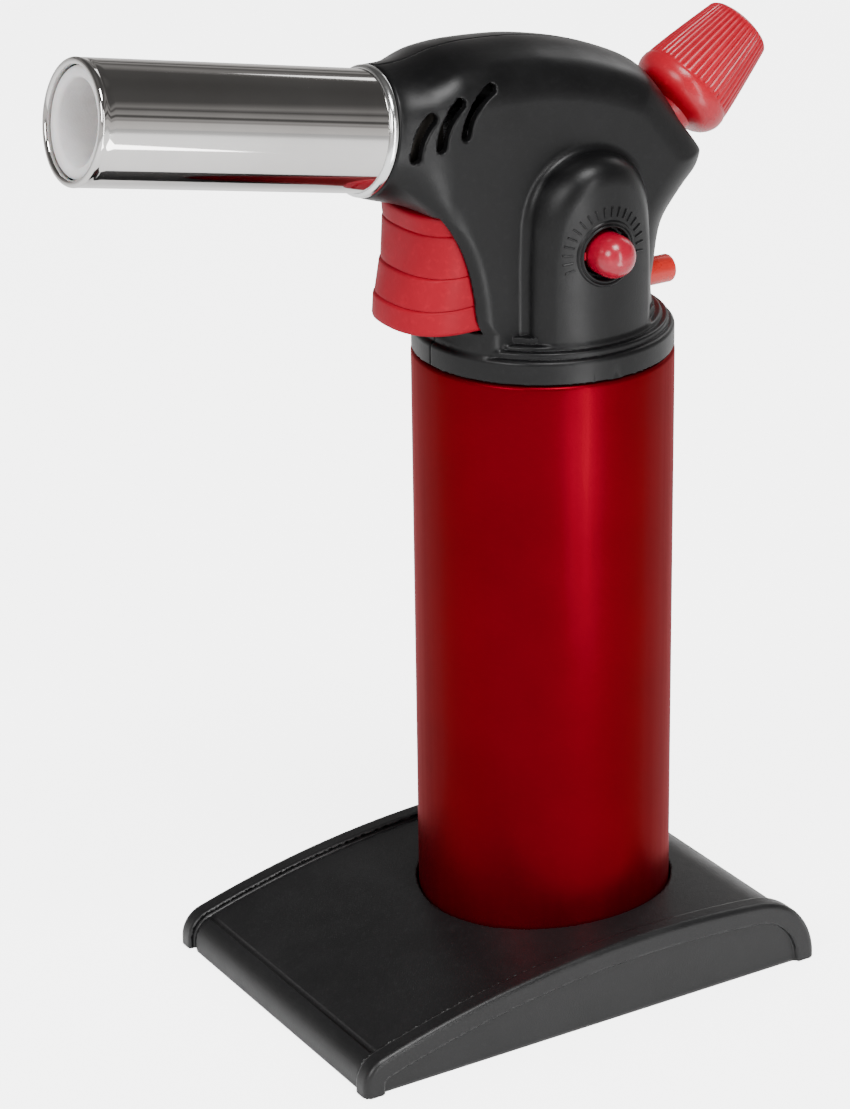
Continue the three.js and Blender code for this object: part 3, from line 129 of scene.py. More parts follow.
class Graph:
    """A material's node tree, with short calls for the nodes used here."""

    def __init__(self, name):
        self.material = bpy.data.materials.new(name)
        self.material.use_nodes = True
        self.tree = self.material.node_tree
        self.nodes, self.links = self.tree.nodes, self.tree.links
        self.shader = next(n for n in self.nodes if n.type == "BSDF_PRINCIPLED")
        self.coords = self.nodes.new("ShaderNodeTexCoord").outputs["Object"]

    def set(self, **values):
        for key, value in values.items():
            self.shader.inputs[key.replace("_", " ")].default_value = value

    def mapped(self, scale=(1, 1, 1), turn=(0, 0, 0)):
        node = self.nodes.new("ShaderNodeMapping")
        node.inputs["Rotation"].default_value = turn
        node.inputs["Scale"].default_value = scale
        self.links.new(self.coords, node.inputs["Vector"])
        return node.outputs["Vector"]

    def noise(self, scale, detail=3, rough=0.55, vector=None):
        node = self.nodes.new("ShaderNodeTexNoise")
        node.inputs["Scale"].default_value = scale
        node.inputs["Detail"].default_value = detail
        node.inputs["Roughness"].default_value = rough
        self.links.new(vector or self.coords, node.inputs["Vector"])
        return node.outputs["Fac"]

    def voronoi(self, scale):
        node = self.nodes.new("ShaderNodeTexVoronoi")
        node.inputs["Scale"].default_value = scale
        self.links.new(self.coords, node.inputs["Vector"])
        return node.outputs["Distance"]

    def ramp(self, factor, stops):
        node = self.nodes.new("ShaderNodeValToRGB")
        band = node.color_ramp
        while len(band.elements) < len(stops):
            band.elements.new(0.5)
        for element, (place, colour) in zip(band.elements, stops):
            element.position = place
            element.color = (*colour, 1)
        self.links.new(factor, node.inputs["Fac"])
        return node.outputs["Color"]

    def spread(self, factor, low, high, source=(0.3, 0.7)):
        node = self.nodes.new("ShaderNodeMapRange")
        node.inputs["From Min"].default_value, node.inputs["From Max"].default_value = source
        node.inputs["To Min"].default_value = low
        node.inputs["To Max"].default_value = high
        self.links.new(factor, node.inputs["Value"])
        return node.outputs["Result"]

    def mix(self, factor, a, b):
        node = self.nodes.new("ShaderNodeMix")
        node.data_type = "RGBA"
        for socket, value in ((node.inputs["Factor"], factor), (node.inputs[6], a), (node.inputs[7], b)):
            if isinstance(value, (tuple, list, float, int)):
                socket.default_value = (*value, 1) if isinstance(value, (tuple, list)) else value
            else:
                self.links.new(value, socket)
        return node.outputs[2]

    def bump(self, height, strength, distance, after=None):
        node = self.nodes.new("ShaderNodeBump")
        node.inputs["Strength"].default_value = strength
        node.inputs["Distance"].default_value = distance
        self.links.new(height, node.inputs["Height"])
        if after:
            self.links.new(after, node.inputs["Normal"])
        return node.outputs["Normal"]

    def plug(self, **outputs):
        for key, value in outputs.items():
            self.links.new(value, self.shader.inputs[key.replace("_", " ")])
        return self.material


def moulded(name, dark, light, rough, grain_mm, grain_strength, coat=0.0, gloss=0.5):
    """Moulded plastic: a slightly uneven colour, a fine spark-eroded grain and a wavy gloss."""
    g = Graph(name)
    cloud = g.noise(55, 4, 0.6)
    specks = g.noise(900, 2, 0.5)
    grain = g.noise(1000 / grain_mm, 2, 0.6)
    base = g.mix(g.spread(cloud, 0, 1), dark, light)
    worn = tuple(min(1, c * 1.5 + 0.003) for c in light)
    colour = g.mix(g.spread(specks, 0, 0.35, (0.55, 0.8)), base, worn)
    roughness = g.spread(g.noise(140, 3), rough - 0.05, rough + 0.06)
    fine = g.bump(grain, grain_strength, 0.00006)
    normal = g.bump(g.noise(130, 2), 0.12, 0.0002, fine)
    g.set(Specular_IOR_Level=gloss, Coat_Weight=coat, Coat_Roughness=0.12)
    return g.plug(Base_Color=colour, Roughness=roughness, Normal=normal)


def brushed(name, colour, rough):
    """Metal with fine drawn lines along one direction and a little uneven tint."""
    g = Graph(name)
    lines = g.noise(260, 5, 0.7, g.mapped((1, 1, 40)))
    cloud = g.noise(45, 3)
    dull = 0.88
    low = tuple(c * dull for c in colour)
    base = g.mix(g.spread(cloud, 0, 1), low, colour)
    roughness = g.spread(lines, rough * 0.7, rough * 1.4)
    normal = g.bump(lines, 0.06, 0.00003)
    g.set(Metallic=1.0)
    return g.plug(Base_Color=base, Roughness=roughness, Normal=normal)


def chrome_material():
    """Polished chrome with faint drawn lines round the tube and an uneven tint."""
    g = Graph("chrome_polished")
    lines = g.noise(300, 5, 0.75, g.mapped((30, 1, 1), (0, NOZZLE_TILT, 0)))
    cloud = g.noise(38, 4)
    base = g.mix(g.spread(cloud, 0, 1), (0.60, 0.585, 0.57), (0.72, 0.705, 0.69))
    roughness = g.spread(lines, 0.035, 0.075)
    normal = g.bump(lines, 0.02, 0.00002)
    g.set(Metallic=1.0)
    return g.plug(Base_Color=base, Roughness=roughness, Normal=normal)


def tank_material():
    """Candy-red anodised metal with fine flake and drawn lines along the tank."""
    g = Graph("candy_red")
    lines = g.noise(420, 4, 0.7, g.mapped((1, 1, 0.02)))
    flake = g.voronoi(5200)
    cloud = g.noise(30, 3)
    base = g.mix(g.spread(cloud, 0, 1), (0.105, 0.0, 0.0044), (0.13, 0.0, 0.0056))
    roughness = g.spread(lines, 0.3, 0.4)
    normal = g.bump(flake, 0.05, 0.00003, g.bump(lines, 0.05, 0.00003))
    g.set(Metallic=0.75, Specular_IOR_Level=0.2, Specular_Tint=(0.7, 0.0, 0.05, 1))
    return g.plug(Base_Color=base, Roughness=roughness, Normal=normal)


def ceramic_material():
    """Fired white ceramic: chalky, pitted, a little darker in patches."""
    g = Graph("ceramic_white")
    cloud = g.noise(80, 5, 0.6)
    pits = g.voronoi(2600)
    base = g.mix(g.spread(cloud, 0, 1), (0.62, 0.60, 0.60), (0.80, 0.79, 0.80))
    normal = g.bump(pits, 0.25, 0.00008, g.bump(g.noise(700, 3), 0.2, 0.0001))
    g.set(Subsurface_Weight=0.15, Subsurface_Scale=0.002)
    return g.plug(Base_Color=base, Roughness=g.spread(cloud, 0.5, 0.7), Normal=normal)


# ---------------------------------------------------------------- distance fields (millimetres)


def rmax(a, b, r):
    """Intersection of two solids with their shared edge rounded to radius r."""
    return np.minimum(np.maximum(a, b), -r) + np.hypot(np.maximum(a + r, 0), np.maximum(b + r, 0))


def rmin(a, b, r):
    """Union of two solids with the inner corner filled to radius r."""
    return np.maximum(np.minimum(a, b), r) - np.hypot(np.maximum(r - a, 0), np.maximum(r - b, 0))


def smooth(t):
    t = np.clip(t, 0, 1)
    return t * t * (3 - 2 * t)


def through(points, steps=12, closed=True):
    """A smooth line through the points."""
    p = np.array(points, float)
    n = len(p)
    out = []
    for i in range(n if closed else n - 1):
        a, b, c, d = (p[(i + k) % n] if closed else p[min(max(i + k, 0), n - 1)] for k in (-1, 0, 1, 2))
        for t in np.linspace(0, 1, steps, endpoint=False):
            square = (2 * a - 5 * b + 4 * c - d) * t**2
            cube = (3 * b - 3 * c + d - a) * t**3
            out.append(0.5 * (2 * b + (c - a) * t + square + cube))
    if not closed:
        out.append(p[-1])
    return np.array(out)


def line_distance(x, z, line):
    """Distance to an open line of points."""
    best = np.full(x.shape, 1e9)
    for (ax, az), (bx, bz) in zip(line[:-1], line[1:]):
        dx, dz = bx - ax, bz - az
        t = np.clip(((x - ax) * dx + (z - az) * dz) / (dx * dx + dz * dz), 0, 1)
        best = np.minimum(best, np.hypot(x - ax - t * dx, z - az - t * dz))
    return best


class Outline:
    """Signed distance to a closed outline in the side view, kept in a table that is read back smoothly."""

    def __init__(self, line, cell=0.25, margin=14, soften=2):
        line = np.vstack([line, line[:1]])
        self.low = line.min(0) - margin
        size = np.ceil((line.max(0) + margin - self.low) / cell).astype(int) + 1
        self.cell, self.size = cell, size
        x, z = np.meshgrid(
            self.low[0] + cell * np.arange(size[0]), self.low[1] + cell * np.arange(size[1]), indexing="ij"
        )
        distance = line_distance(x, z, line)
        inside = np.zeros(x.shape, bool)
        for (ax, az), (bx, bz) in zip(line[:-1], line[1:]):
            if az == bz:
                continue
            crosses = (az > z) != (bz > z)
            inside ^= crosses & (x < (bx - ax) * (z - az) / (bz - az) + ax)
        table = np.where(inside, -distance, distance)
        for _ in range(soften):
            total = 4 * table[1:-1, 1:-1] + table[:-2, 1:-1] + table[2:, 1:-1]
            table[1:-1, 1:-1] = (total + table[1:-1, :-2] + table[1:-1, 2:]) / 8
        self.table = table

    def __call__(self, x, z):
        i = np.clip((x - self.low[0]) / self.cell, 0, self.size[0] - 1.001)
        j = np.clip((z - self.low[1]) / self.cell, 0, self.size[1] - 1.001)
        a, b = i.astype(int), j.astype(int)
        u, v = i - a, j - b
        t = self.table
        below = t[a, b] * (1 - u) + t[a + 1, b] * u
        above = t[a, b + 1] * (1 - u) + t[a + 1, b + 1] * u
        return below * (1 - v) + above * v


def grid_mesh(field, low, high, step):
    """Surface-nets mesh of field == 0: vertices and quads, in the field's own millimetres."""
    axes = [np.arange(low[i], high[i] + step, step) for i in range(3)]
    values = np.empty([len(a) for a in axes], np.float32)
    for i, x in enumerate(axes[0]):
        gy, gz = np.meshgrid(axes[1], axes[2], indexing="ij")
        values[i] = field(np.full(gy.shape, x), gy, gz)
    inside = values < 0
    cells = [n - 1 for n in values.shape]
    count = np.zeros(cells, np.int8)
    corners = [(a, b, c) for a in (0, 1) for b in (0, 1) for c in (0, 1)]
    for a, b, c in corners:
        count += inside[a : a + cells[0], b : b + cells[1], c : c + cells[2]]
    where = np.argwhere((count > 0) & (count < 8))
    index = np.full(cells, -1, np.int64)
    index[tuple(where.T)] = np.arange(len(where))
    total = np.zeros((len(where), 3))
    hits = np.zeros(len(where))
    for first in corners:
        for axis in range(3):
            if first[axis]:
                continue
            second = list(first)
            second[axis] = 1
            v0 = values[tuple((where + first).T)]
            v1 = values[tuple((where + second).T)]
            cut = (v0 < 0) != (v1 < 0)
            t = np.where(cut, v0 / np.where(cut, v0 - v1, 1), 0)
            point = np.tile(np.array(first, float), (len(where), 1))
            point[:, axis] = t
            total[cut] += point[cut]
            hits[cut] += 1
    points = (where + total / hits[:, None]) * step + np.array([a[0] for a in axes])
    quads = []
    for axis in range(3):
        p, q = [k for k in range(3) if k != axis]
        if axis == 1:
            p, q = q, p
        head = [slice(None)] * 3
        tail = [slice(None)] * 3
        head[axis], tail[axis] = slice(0, -1), slice(1, None)
        a, b = inside[tuple(head)], inside[tuple(tail)]
        edge = np.argwhere(a != b)
        keep = (edge[:, p] > 0) & (edge[:, q] > 0) & (edge[:, p] < cells[p]) & (edge[:, q] < cells[q])
        edge = edge[keep]
        out = a[tuple(edge.T)]
        ring = []
        for dp, dq in ((-1, -1), (0, -1), (0, 0), (-1, 0)):
            cell = edge.copy()
            cell[:, p] += dp
            cell[:, q] += dq
            ring.append(index[tuple(cell.T)])
        quad = np.stack(ring, 1)
        quad[~out] = quad[~out][:, ::-1]
        quads.append(quad)
    return points, np.vstack(quads)


def slope(field, points, reach=0.05):
    out = np.empty_like(points)
    for axis in range(3):
        ahead, behind = points.copy(), points.copy()
        ahead[:, axis] += reach
        behind[:, axis] -= reach
        out[:, axis] = (field(*ahead.T) - field(*behind.T)) / (2 * reach)
    return out


def settle(field, points, rounds, limit):
    """Moves the points onto the field's surface."""
    for _ in range(rounds):
        g = slope(field, points)
        move = (field(*points.T) / np.maximum((g**2).sum(1), 0.05))[:, None] * g
        length = np.linalg.norm(move, axis=1, keepdims=True)
        points = points - move * np.minimum(1, limit / np.maximum(length, 1e-9))
    return points


def field_piece(name, field, low, high, step, share, material):
    """A Blender mesh of the field, thinned where it is flat, with normals from the field."""
    points, quads = grid_mesh(field, low, high, step)
    points = settle(field, points, 3, step * 0.4)
    mesh = bpy.data.meshes.new(name)
    mesh.from_pydata(points.tolist(), [], quads.tolist())
    obj = bpy.data.objects.new(name, mesh)
    bpy.context.scene.collection.objects.link(obj)
    thin = obj.modifiers.new("thin", "DECIMATE")
    thin.ratio = share
    evaluated = obj.evaluated_get(bpy.context.evaluated_depsgraph_get())
    thinned = bpy.data.meshes.new_from_object(evaluated)
    obj.modifiers.clear()
    obj.data = thinned
    bpy.data.meshes.remove(mesh)
    thinned.name = name
    co = np.zeros(len(thinned.vertices) * 3)
    thinned.vertices.foreach_get("co", co)
    co = settle(field, co.reshape(-1, 3), 2, step * 0.25)
    normals = slope(field, co)
    normals /= np.maximum(np.linalg.norm(normals, axis=1, keepdims=True), 1e-9)
    place = (co + np.array([AXIS_X, 0, 0])) * MM
    thinned.vertices.foreach_set("co", place.ravel())
    thinned.polygons.foreach_set("use_smooth", [True] * len(thinned.polygons))
    thinned.update()
    thinned.normals_split_custom_set_from_vertices(normals.tolist())
    thinned.materials.append(material)
    return obj


# ---------------------------------------------------------------- mesh helpers


def to_frame(points):
    return (np.array(points, float) + np.array([AXIS_X, 0, 0])) * MM


def mesh_piece(name, points, faces, material, sharp_deg=40):
    """A piece from points in millimetres about the tank axis."""
    mesh = bpy.data.meshes.new(name)
    mesh.from_pydata(to_frame(points).tolist(), [], [list(map(int, f)) for f in faces])
    bm = bmesh.new()
    bm.from_mesh(mesh)
    bmesh.ops.remove_doubles(bm, verts=bm.verts, dist=1e-7)
    bmesh.ops.dissolve_degenerate(bm, edges=bm.edges, dist=1e-7)
    bmesh.ops.recalc_face_normals(bm, faces=bm.faces)
    bm.to_mesh(mesh)
    bm.free()
    mesh.polygons.foreach_set("use_smooth", [True] * len(mesh.polygons))
    mesh.set_sharp_from_angle(angle=math.radians(sharp_deg))
    mesh.materials.append(material)
    obj = bpy.data.objects.new(name, mesh)
    bpy.context.scene.collection.objects.link(obj)
    return obj


def ring_faces(rows, columns, close_rows=True):
    """Quads of a grid that wraps round its columns, and round its rows too when it is a closed section."""
    faces = []
    for i in range(rows if close_rows else rows - 1):
        for j in range(columns):
            a, b = i * columns + j, i * columns + (j + 1) % columns
            k = (i + 1) % rows
            faces.append((a, b, k * columns + (j + 1) % columns, k * columns + j))
    return faces


def axis_frame(axis):
    axis = np.array(axis, float) / np.linalg.norm(axis)
    side = np.cross(axis, [0, 1, 0]) if abs(axis[1]) < 0.9 else np.cross(axis, [0, 0, 1])
    side /= np.linalg.norm(side)
    return axis, side, np.cross(axis, side)


def lathe(name, profile, origin, axis, material, around=128, shape=None, sharp_deg=40):
    """A turned piece. profile is a closed loop of (along, radius), and shape may vary a row's radius."""
    axis, side, other = axis_frame(axis)
    angle = np.linspace(0, 2 * math.pi, around, endpoint=False)
    rows = []
    for along, radius in profile:
        r = np.full(around, float(radius)) if shape is None else shape(along, radius, angle)
        rows.append(
            np.array(origin)
            + along * axis
            + r[:, None] * (np.cos(angle)[:, None] * side + np.sin(angle)[:, None] * other)
        )
    return mesh_piece(name, np.vstack(rows), ring_faces(len(profile), around), material, sharp_deg)


def arc(cx, cy, r, start, end, steps=6):
    """Points of a rounded corner in a profile, angles in degrees."""
    a = np.radians(np.linspace(start, end, steps + 1))
    return [(cx + r * math.cos(t), cy + r * math.sin(t)) for t in a]


def place_piece(obj, body, slot, *replaced):
    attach(obj, body)
    if replaced:
        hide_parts(*replaced)
    return obj


# ---------------------------------------------------------------- the head's shape

HALF_WIDTH = 14.3
WALL = 1.9
CROWN = 24.0  # radius of the rounded back, across the head
BARREL = 12.3
BARREL_FLARE = 0.17
HEAD_FRONT = 39.45  # along the nozzle axis
BLEND_START, BLEND_LENGTH = 27, 11.5  # where the slab turns into the barrel, along the nozzle axis
SKIRT_RADIUS, SKIRT_TOP, SKIRT_FLARE = 24.9, 9, 0.7
DOME_X, DOME_HALF, DOME_ARCH = 0.4, 13.5, 28
COLLAR_STEPS = ((25.4, 4.6, 0.9), (24.2, 5.9, 0.55), (22.9, 6.7, 0.6))  # radius, height, rounding
POCKET_HALF, POCKET_BOTTOM, POCKET_TOP, POCKET_REAR = 12.4, 9.1, 33, -8
BALL_ROOM, LIP_ROOM = 4.5, 5.2
NECK_ROOM, DISH_RADIUS, DISH_FLOOR = 5.9, 11.0, -4.7
REAR_BUTTON_ABOVE_SEAT, REAR_BUTTON_ROOM = 9.6, 3.15
NOZZLE_ROOM = 10.6
BOSS, BOSS_HOLE = 3.6, 1.7

HEAD_SIDE = through(
    [
        (-23.1, 2), (-23.3, 9), (-23.8, 15.1), (-24.7, 20.1), (-26.1, 24.6), (-28.3, 29), (-30.9, 32.4),
        (-34.6, 34.6), (-40, 36.4), (-48, 38.2), (-49, 47), (-47, 56.6), (-41, 59.2), (-36.5, 60.2),
        (-30, 60.9), (-22, 62), (-16, 62.15),
        (-7, 61.6), (0, 60.4), (6, 58.9), (12, 56.8), (17.4, 54.3), (20.4, 51.7), (25, 46), (29.2, 40.8),
        (31.2, 37.6), (31.4, 35.0), (29.9, 31.5), (27.0, 28.4), (24.4, 25.4),
        (22.6, 22.9), (21.7, 20), (20.8, 14.1),
        (20.2, 11.1), (20, 7), (20, 2), (-2, 1.5),
    ],
    10,
)
head_side = Outline(HEAD_SIDE)


def bowed(start, middle, end, steps=8):
    """A slot's centre line, bowed through its middle point."""
    a, b, c = (np.array(p, float) for p in (start, middle, end))
    pull = 2 * b - (a + c) / 2
    return np.array([(1 - t) ** 2 * a + 2 * t * (1 - t) * pull + t * t * c for t in np.linspace(0, 1, steps)])


VENTS = [
    bowed((-35.5, 45.4), (-34.5, 49.1), (-32, 52.3)),
    bowed((-30.6, 46.9), (-29.3, 51.0), (-26.2, 54.4)),
    bowed((-25.5, 48.4), (-23.6, 52.9), (-19.5, 56.1)),
]
VENT_HALF_WIDTH = 1.0

SCREW_HEAD = 2.3
SCREWS = []
for number, shift, top in ((1, 0.0, 12.6), (2, 0.0, 12.6), (3, -1.2, 10.4)):
    low, high = box_mm(f"housing_screw_{number}")
    SCREWS.append((0.5 * (low[0] + high[0]) + shift, 0.5 * (low[2] + high[2]) - SEAT, top))


def along_nozzle(x, w):
    s = -x * math.cos(NOZZLE_TILT) + (w - NOZZLE_ABOVE_SEAT) * math.sin(NOZZLE_TILT)
    v = x * math.sin(NOZZLE_TILT) + (w - NOZZLE_ABOVE_SEAT) * math.cos(NOZZLE_TILT)
    return s, v


def head_outside(x, y, z):
    """The closed outer form of the head and collar, before any opening."""
    w = z - SEAT
    upper = np.clip(0.04 * (x + 34) + 0.045 * (w - 37), 0, 1)
    across = np.minimum(np.abs(y), CROWN - 1)
    crown = (CROWN - np.sqrt(CROWN**2 - across**2)) * upper
    slab = rmax(head_side(x, w) + crown, np.abs(y) - HALF_WIDTH, 3.6 + 1.2 * upper)
    s, v = along_nozzle(x, w)
    barrel = np.hypot(y, v) - BARREL - BARREL_FLARE * np.maximum(HEAD_FRONT - s, 0)
    t = smooth((s - BLEND_START) / BLEND_LENGTH)
    body = slab * (1 - t) + barrel * t
    body = rmax(body, s - HEAD_FRONT, 0.5)
    around = np.hypot(x, y)
    body = rmax(body, around - SKIRT_RADIUS - SKIRT_FLARE * np.maximum(w - SKIRT_TOP, 0), 1.5)
    off = x - DOME_X
    arch = np.where(w < DOME_ARCH, np.abs(off), np.hypot(off, w - DOME_ARCH)) - DOME_HALF
    edge = 3.2 + 1.8 * smooth((w - 18) / 16)
    dome = rmax(arch, around - DOME_RADIUS, edge)
    head = rmin(body, np.maximum(dome, 3 - w), 1.6)
    band, ledge, flange = (rmax(around - r, w - top, rounding) for r, top, rounding in COLLAR_STEPS)
    collar = np.minimum(np.minimum(band, ledge), flange)
    return rmin(head, collar, 0.6)


def head_shell(x, y, z):
    """The head as a moulded shell with its openings, both halves together."""
    w = z - SEAT
    outside = head_outside(x, y, z)
    solid = np.maximum(outside, -(outside + WALL))
    around = np.hypot(x, y)
    floor = np.maximum(np.maximum(np.abs(w - 7.3) - 0.7, around - 21.4), 9.4 - around)
    solid = np.minimum(solid, floor)
    q = np.hypot(x, w - LOCK_ABOVE_SEAT)
    lock_tube = np.maximum(q - 7.4, np.abs(y + 17.9) - 3.0)
    solid = np.minimum(solid, np.maximum(lock_tube, outside + 0.4))
    for cx, cw, _ in SCREWS:
        r = np.hypot(x - cx, w - cw)
        boss = np.maximum(np.maximum(r - BOSS, outside + 0.4), BOSS_HOLE - r)
        solid = np.minimum(solid, boss)
    solid = np.maximum(solid, -w)
    pocket = np.maximum(
        np.maximum(np.abs(y) - POCKET_HALF, POCKET_BOTTOM - w), np.maximum(w - POCKET_TOP, x - POCKET_REAR)
    )
    solid = rmax(solid, -pocket, 0.45)
    ball_q = np.hypot(x, w - BALL_ABOVE_SEAT)
    recess = np.maximum(ball_q - LIP_ROOM, y + 20.4)
    bore = np.maximum(ball_q - BALL_ROOM, y + 12)
    solid = rmax(solid, -np.minimum(recess, bore), 0.15)
    u, v = along_knob(x, w)
    off_knob = np.hypot(y, v)
    dish_back = np.maximum(np.maximum(off_knob - 12.8, np.abs(u + 4.8) - 1.9), outside)
    solid = np.minimum(solid, dish_back)
    solid = rmax(solid, -np.maximum(off_knob - DISH_RADIUS, DISH_FLOOR - u), 0.9)
    solid = rmax(solid, -np.maximum(off_knob - NECK_ROOM, -9 - u), 0.4)
    button = np.hypot(y, w - REAR_BUTTON_ABOVE_SEAT) - REAR_BUTTON_ROOM
    solid = rmax(solid, -np.maximum(button, 12 - x), 0.4)
    near = np.abs(y) - 8
    for vent in VENTS:
        slot = line_distance(x, w, vent) - VENT_HALF_WIDTH
        solid = rmax(solid, -np.maximum(slot, -near), 0.3)
    s, v = along_nozzle(x, w)
    solid = np.maximum(solid, -np.maximum(np.hypot(y, v) - NOZZLE_ROOM, 24 - s))
    for cx, cw, top in SCREWS:
        r = np.hypot(x - cx, w - cw)
        solid = rmax(solid, -np.maximum(r - SCREW_HEAD - 0.3, top - 2 - y), 0.35)
    return solid


def along_knob(x, w):
    dx, dw = x - KNOB_X, w - KNOB_ABOVE_SEAT
    u = dx * math.cos(KNOB_TILT) + dw * math.sin(KNOB_TILT)
    v = -dx * math.sin(KNOB_TILT) + dw * math.cos(KNOB_TILT)
    return u, v


def half_of(side):
    def field(x, y, z):
        return rmax(head_shell(x, y, z), -side * y + 0.08, 0.3)

    return field


HEAD_LOW, HEAD_HIGH = (-43.5, SEAT - 1.2), (32.6, SEAT + 64)
HEAD_STEP = 0.42
HEAD_SHARE = 0.4


def make_head(black):
    for name, side in (("housing_left", -1), ("housing_right", 1)):
        y = (-26.6, 1.0) if side < 0 else (-1.0, 26.6)
        piece = field_piece(
            name + "_shell",
            half_of(side),
            (HEAD_LOW[0], y[0], HEAD_LOW[1]),
            (HEAD_HIGH[0], y[1], HEAD_HIGH[1]),
            HEAD_STEP,
            HEAD_SHARE,
            black,
        )
        place_piece(piece, "torch", "housing_black", name)


def screw_field(cx, cw, top):
    """A pan-headed screw with a cross recess, its axis across the head."""

    def field(x, y, z):
        dx, dz = x - cx, z - SEAT - cw
        r = np.hypot(dx, dz)
        cap = np.maximum(rmax(r - SCREW_HEAD, y - top, 0.6), top - 2 - y)
        shank = np.maximum(np.maximum(r - 1.3, -11 - y), y - top + 1.5)
        bars = np.minimum(
            np.maximum(np.abs(dx) - 0.35, np.abs(dz) - 1.4), np.maximum(np.abs(dz) - 0.35, np.abs(dx) - 1.4)
        )
        return rmax(np.minimum(cap, shank), -np.maximum(bars, top - 1.1 - y), 0.08)

    return field


def make_screws(steel):
    for number, (cx, cw, top) in enumerate(SCREWS, 1):
        low = (cx - 2.8, -11.5, SEAT + cw - 2.8)
        high = (cx + 2.8, top + 0.5, SEAT + cw + 2.8)
        node = f"housing_screw_{number}"
        screw = field_piece(node + "_crossed", screw_field(cx, cw, top), low, high, 0.2, 0.5, steel)
        place_piece(screw, "torch", "steel", node)


# ---------------------------------------------------------------- stand

STAND_HALF = 37.7
STAND_FRONT, STAND_REAR = -64.6, 41.2
FRONT_ROLL, REAR_ROLL = 6.0, 15.0
ARCH_RADIUS = 221.0
ARCH_CENTRE = (3.0, 17.0 - ARCH_RADIUS)
STAND_BELOW = -14.0  # the outline is closed below the floor, where the foot is cut off
STAND_LOW, STAND_HIGH = (-66.5, -39.5, -1.2), (43, 39.5, 18.5)
RIM = 4.3
PANEL_DROP = 0.9
CHEEK_DROP = 4.4
CREASE_X = -59.6
SOCKET_FLOOR = 2.2
DRAIN_RADIUS, DRAIN_DEPTH = 9, 6


def stand_line():
    """Side outline of the arched stand."""

    def roll_place(edge, roll, sign):
        cx = edge - sign * roll
        gap = ARCH_RADIUS - roll
        cz = ARCH_CENTRE[1] + math.sqrt(gap**2 - (cx - ARCH_CENTRE[0]) ** 2)
        return cx, cz

    def bearing(x, z):
        return math.degrees(math.atan2(z - ARCH_CENTRE[1], x - ARCH_CENTRE[0]))

    fx, fz = roll_place(STAND_FRONT, FRONT_ROLL, -1)
    rx, rz = roll_place(STAND_REAR, REAR_ROLL, 1)
    join, end = bearing(fx, fz), bearing(rx, rz)
    points = [(STAND_FRONT, 0.0)]
    points += arc(fx, fz, FRONT_ROLL, 180, join, 14)
    points += arc(*ARCH_CENTRE, ARCH_RADIUS, join, end, 60)[1:-1]
    points += arc(rx, rz, REAR_ROLL, end, 0, 18)
    points.append((STAND_REAR, 0.0))
    return np.array(points)


STAND_CLOSE = [[STAND_REAR, STAND_BELOW], [STAND_FRONT, STAND_BELOW]]
stand_side = Outline(np.vstack([stand_line(), STAND_CLOSE]), soften=1)


def stand_field(x, y, z):
    side = stand_side(x, z)
    across = np.abs(y)
    panel = rmax(side + PANEL_DROP, across - STAND_HALF + 1, 0.3)
    bead = rmax(side, across - STAND_HALF, 1.3)
    bead = rmax(bead, STAND_HALF - RIM - across, 0.8)
    solid = rmin(panel, bead, 0.25)
    groove = np.hypot(across - (STAND_HALF - RIM - 0.1), side + PANEL_DROP) - 0.5
    solid = rmax(solid, -groove, 0.1)
    cheek = rmax(side + CHEEK_DROP, STAND_HALF - 1.0 - across, 0.4)
    solid = rmax(solid, -cheek, 0.35)
    crease = np.hypot(x - CREASE_X, side + PANEL_DROP + 0.1) - 0.45
    solid = rmax(solid, -np.maximum(crease, across - (STAND_HALF - RIM)), 0.1)
    solid = np.maximum(solid, -z)
    hollow = np.maximum(side + PANEL_DROP + 2.2, across - (STAND_HALF - 3.4))
    around = np.hypot(x, y)
    solid = np.maximum(solid, -hollow)
    socket = np.maximum(np.maximum(around - TANK_RADIUS - 2.5, side + PANEL_DROP), SOCKET_FLOOR - z)
    solid = np.minimum(solid, socket)
    seat = np.maximum(around - TANK_RADIUS - 0.35, TANK_FOOT - 0.3 - z)
    solid = rmax(solid, -seat, 0.3)
    return np.maximum(solid, -np.maximum(around - DRAIN_RADIUS, z - DRAIN_DEPTH))


def make_stand(black):
    step = 0.55
    piece = field_piece(
        "stand_shell", stand_field, STAND_LOW, STAND_HIGH, step, 0.4, black
    )
    place_piece(piece, "stand", "stand_black", "stand")


# ---------------------------------------------------------------- tank


def make_tank(red):
    r = TANK_RADIUS
    foot, top = TANK_FOOT, SEAT - 0.3
    profile = [(foot, r - 1.2)]
    profile += [(foot, r - 0.7), (foot + 0.15, r - 0.35), (foot + 0.5, r - 0.2)]
    profile += [(foot + 1.4, r - 0.2), (foot + 1.7, r)]
    profile += [(z, r) for z in np.linspace(foot + 4, top - 3, 12)]
    profile += arc(top - 0.9, r - 0.9, 0.9, 90, 0, 5)
    profile += [(top, r - 1.6), (top, 20.4), (top + 0.5, 20.0), (top + 5.0, 20.0)]
    profile += [(top + 5.6, 19.4), (top + 5.6, 6.8)]
    profile += [(top + 4.4, 6.8), (top + 4.4, 18.8), (top - 1.2, 18.8), (top - 1.2, r - 1.2)]
    tank = lathe("tank_shell", profile, (0, 0, 0), (0, 0, 1), red, 192, sharp_deg=35)
    place_piece(tank, "torch", "tank_red", "tank_body")


# ---------------------------------------------------------------- nozzle

NOZZLE_AXIS = (-math.cos(NOZZLE_TILT), 0, math.sin(NOZZLE_TILT))


def nozzle_origin():
    return (0, 0, SEAT + NOZZLE_ABOVE_SEAT)


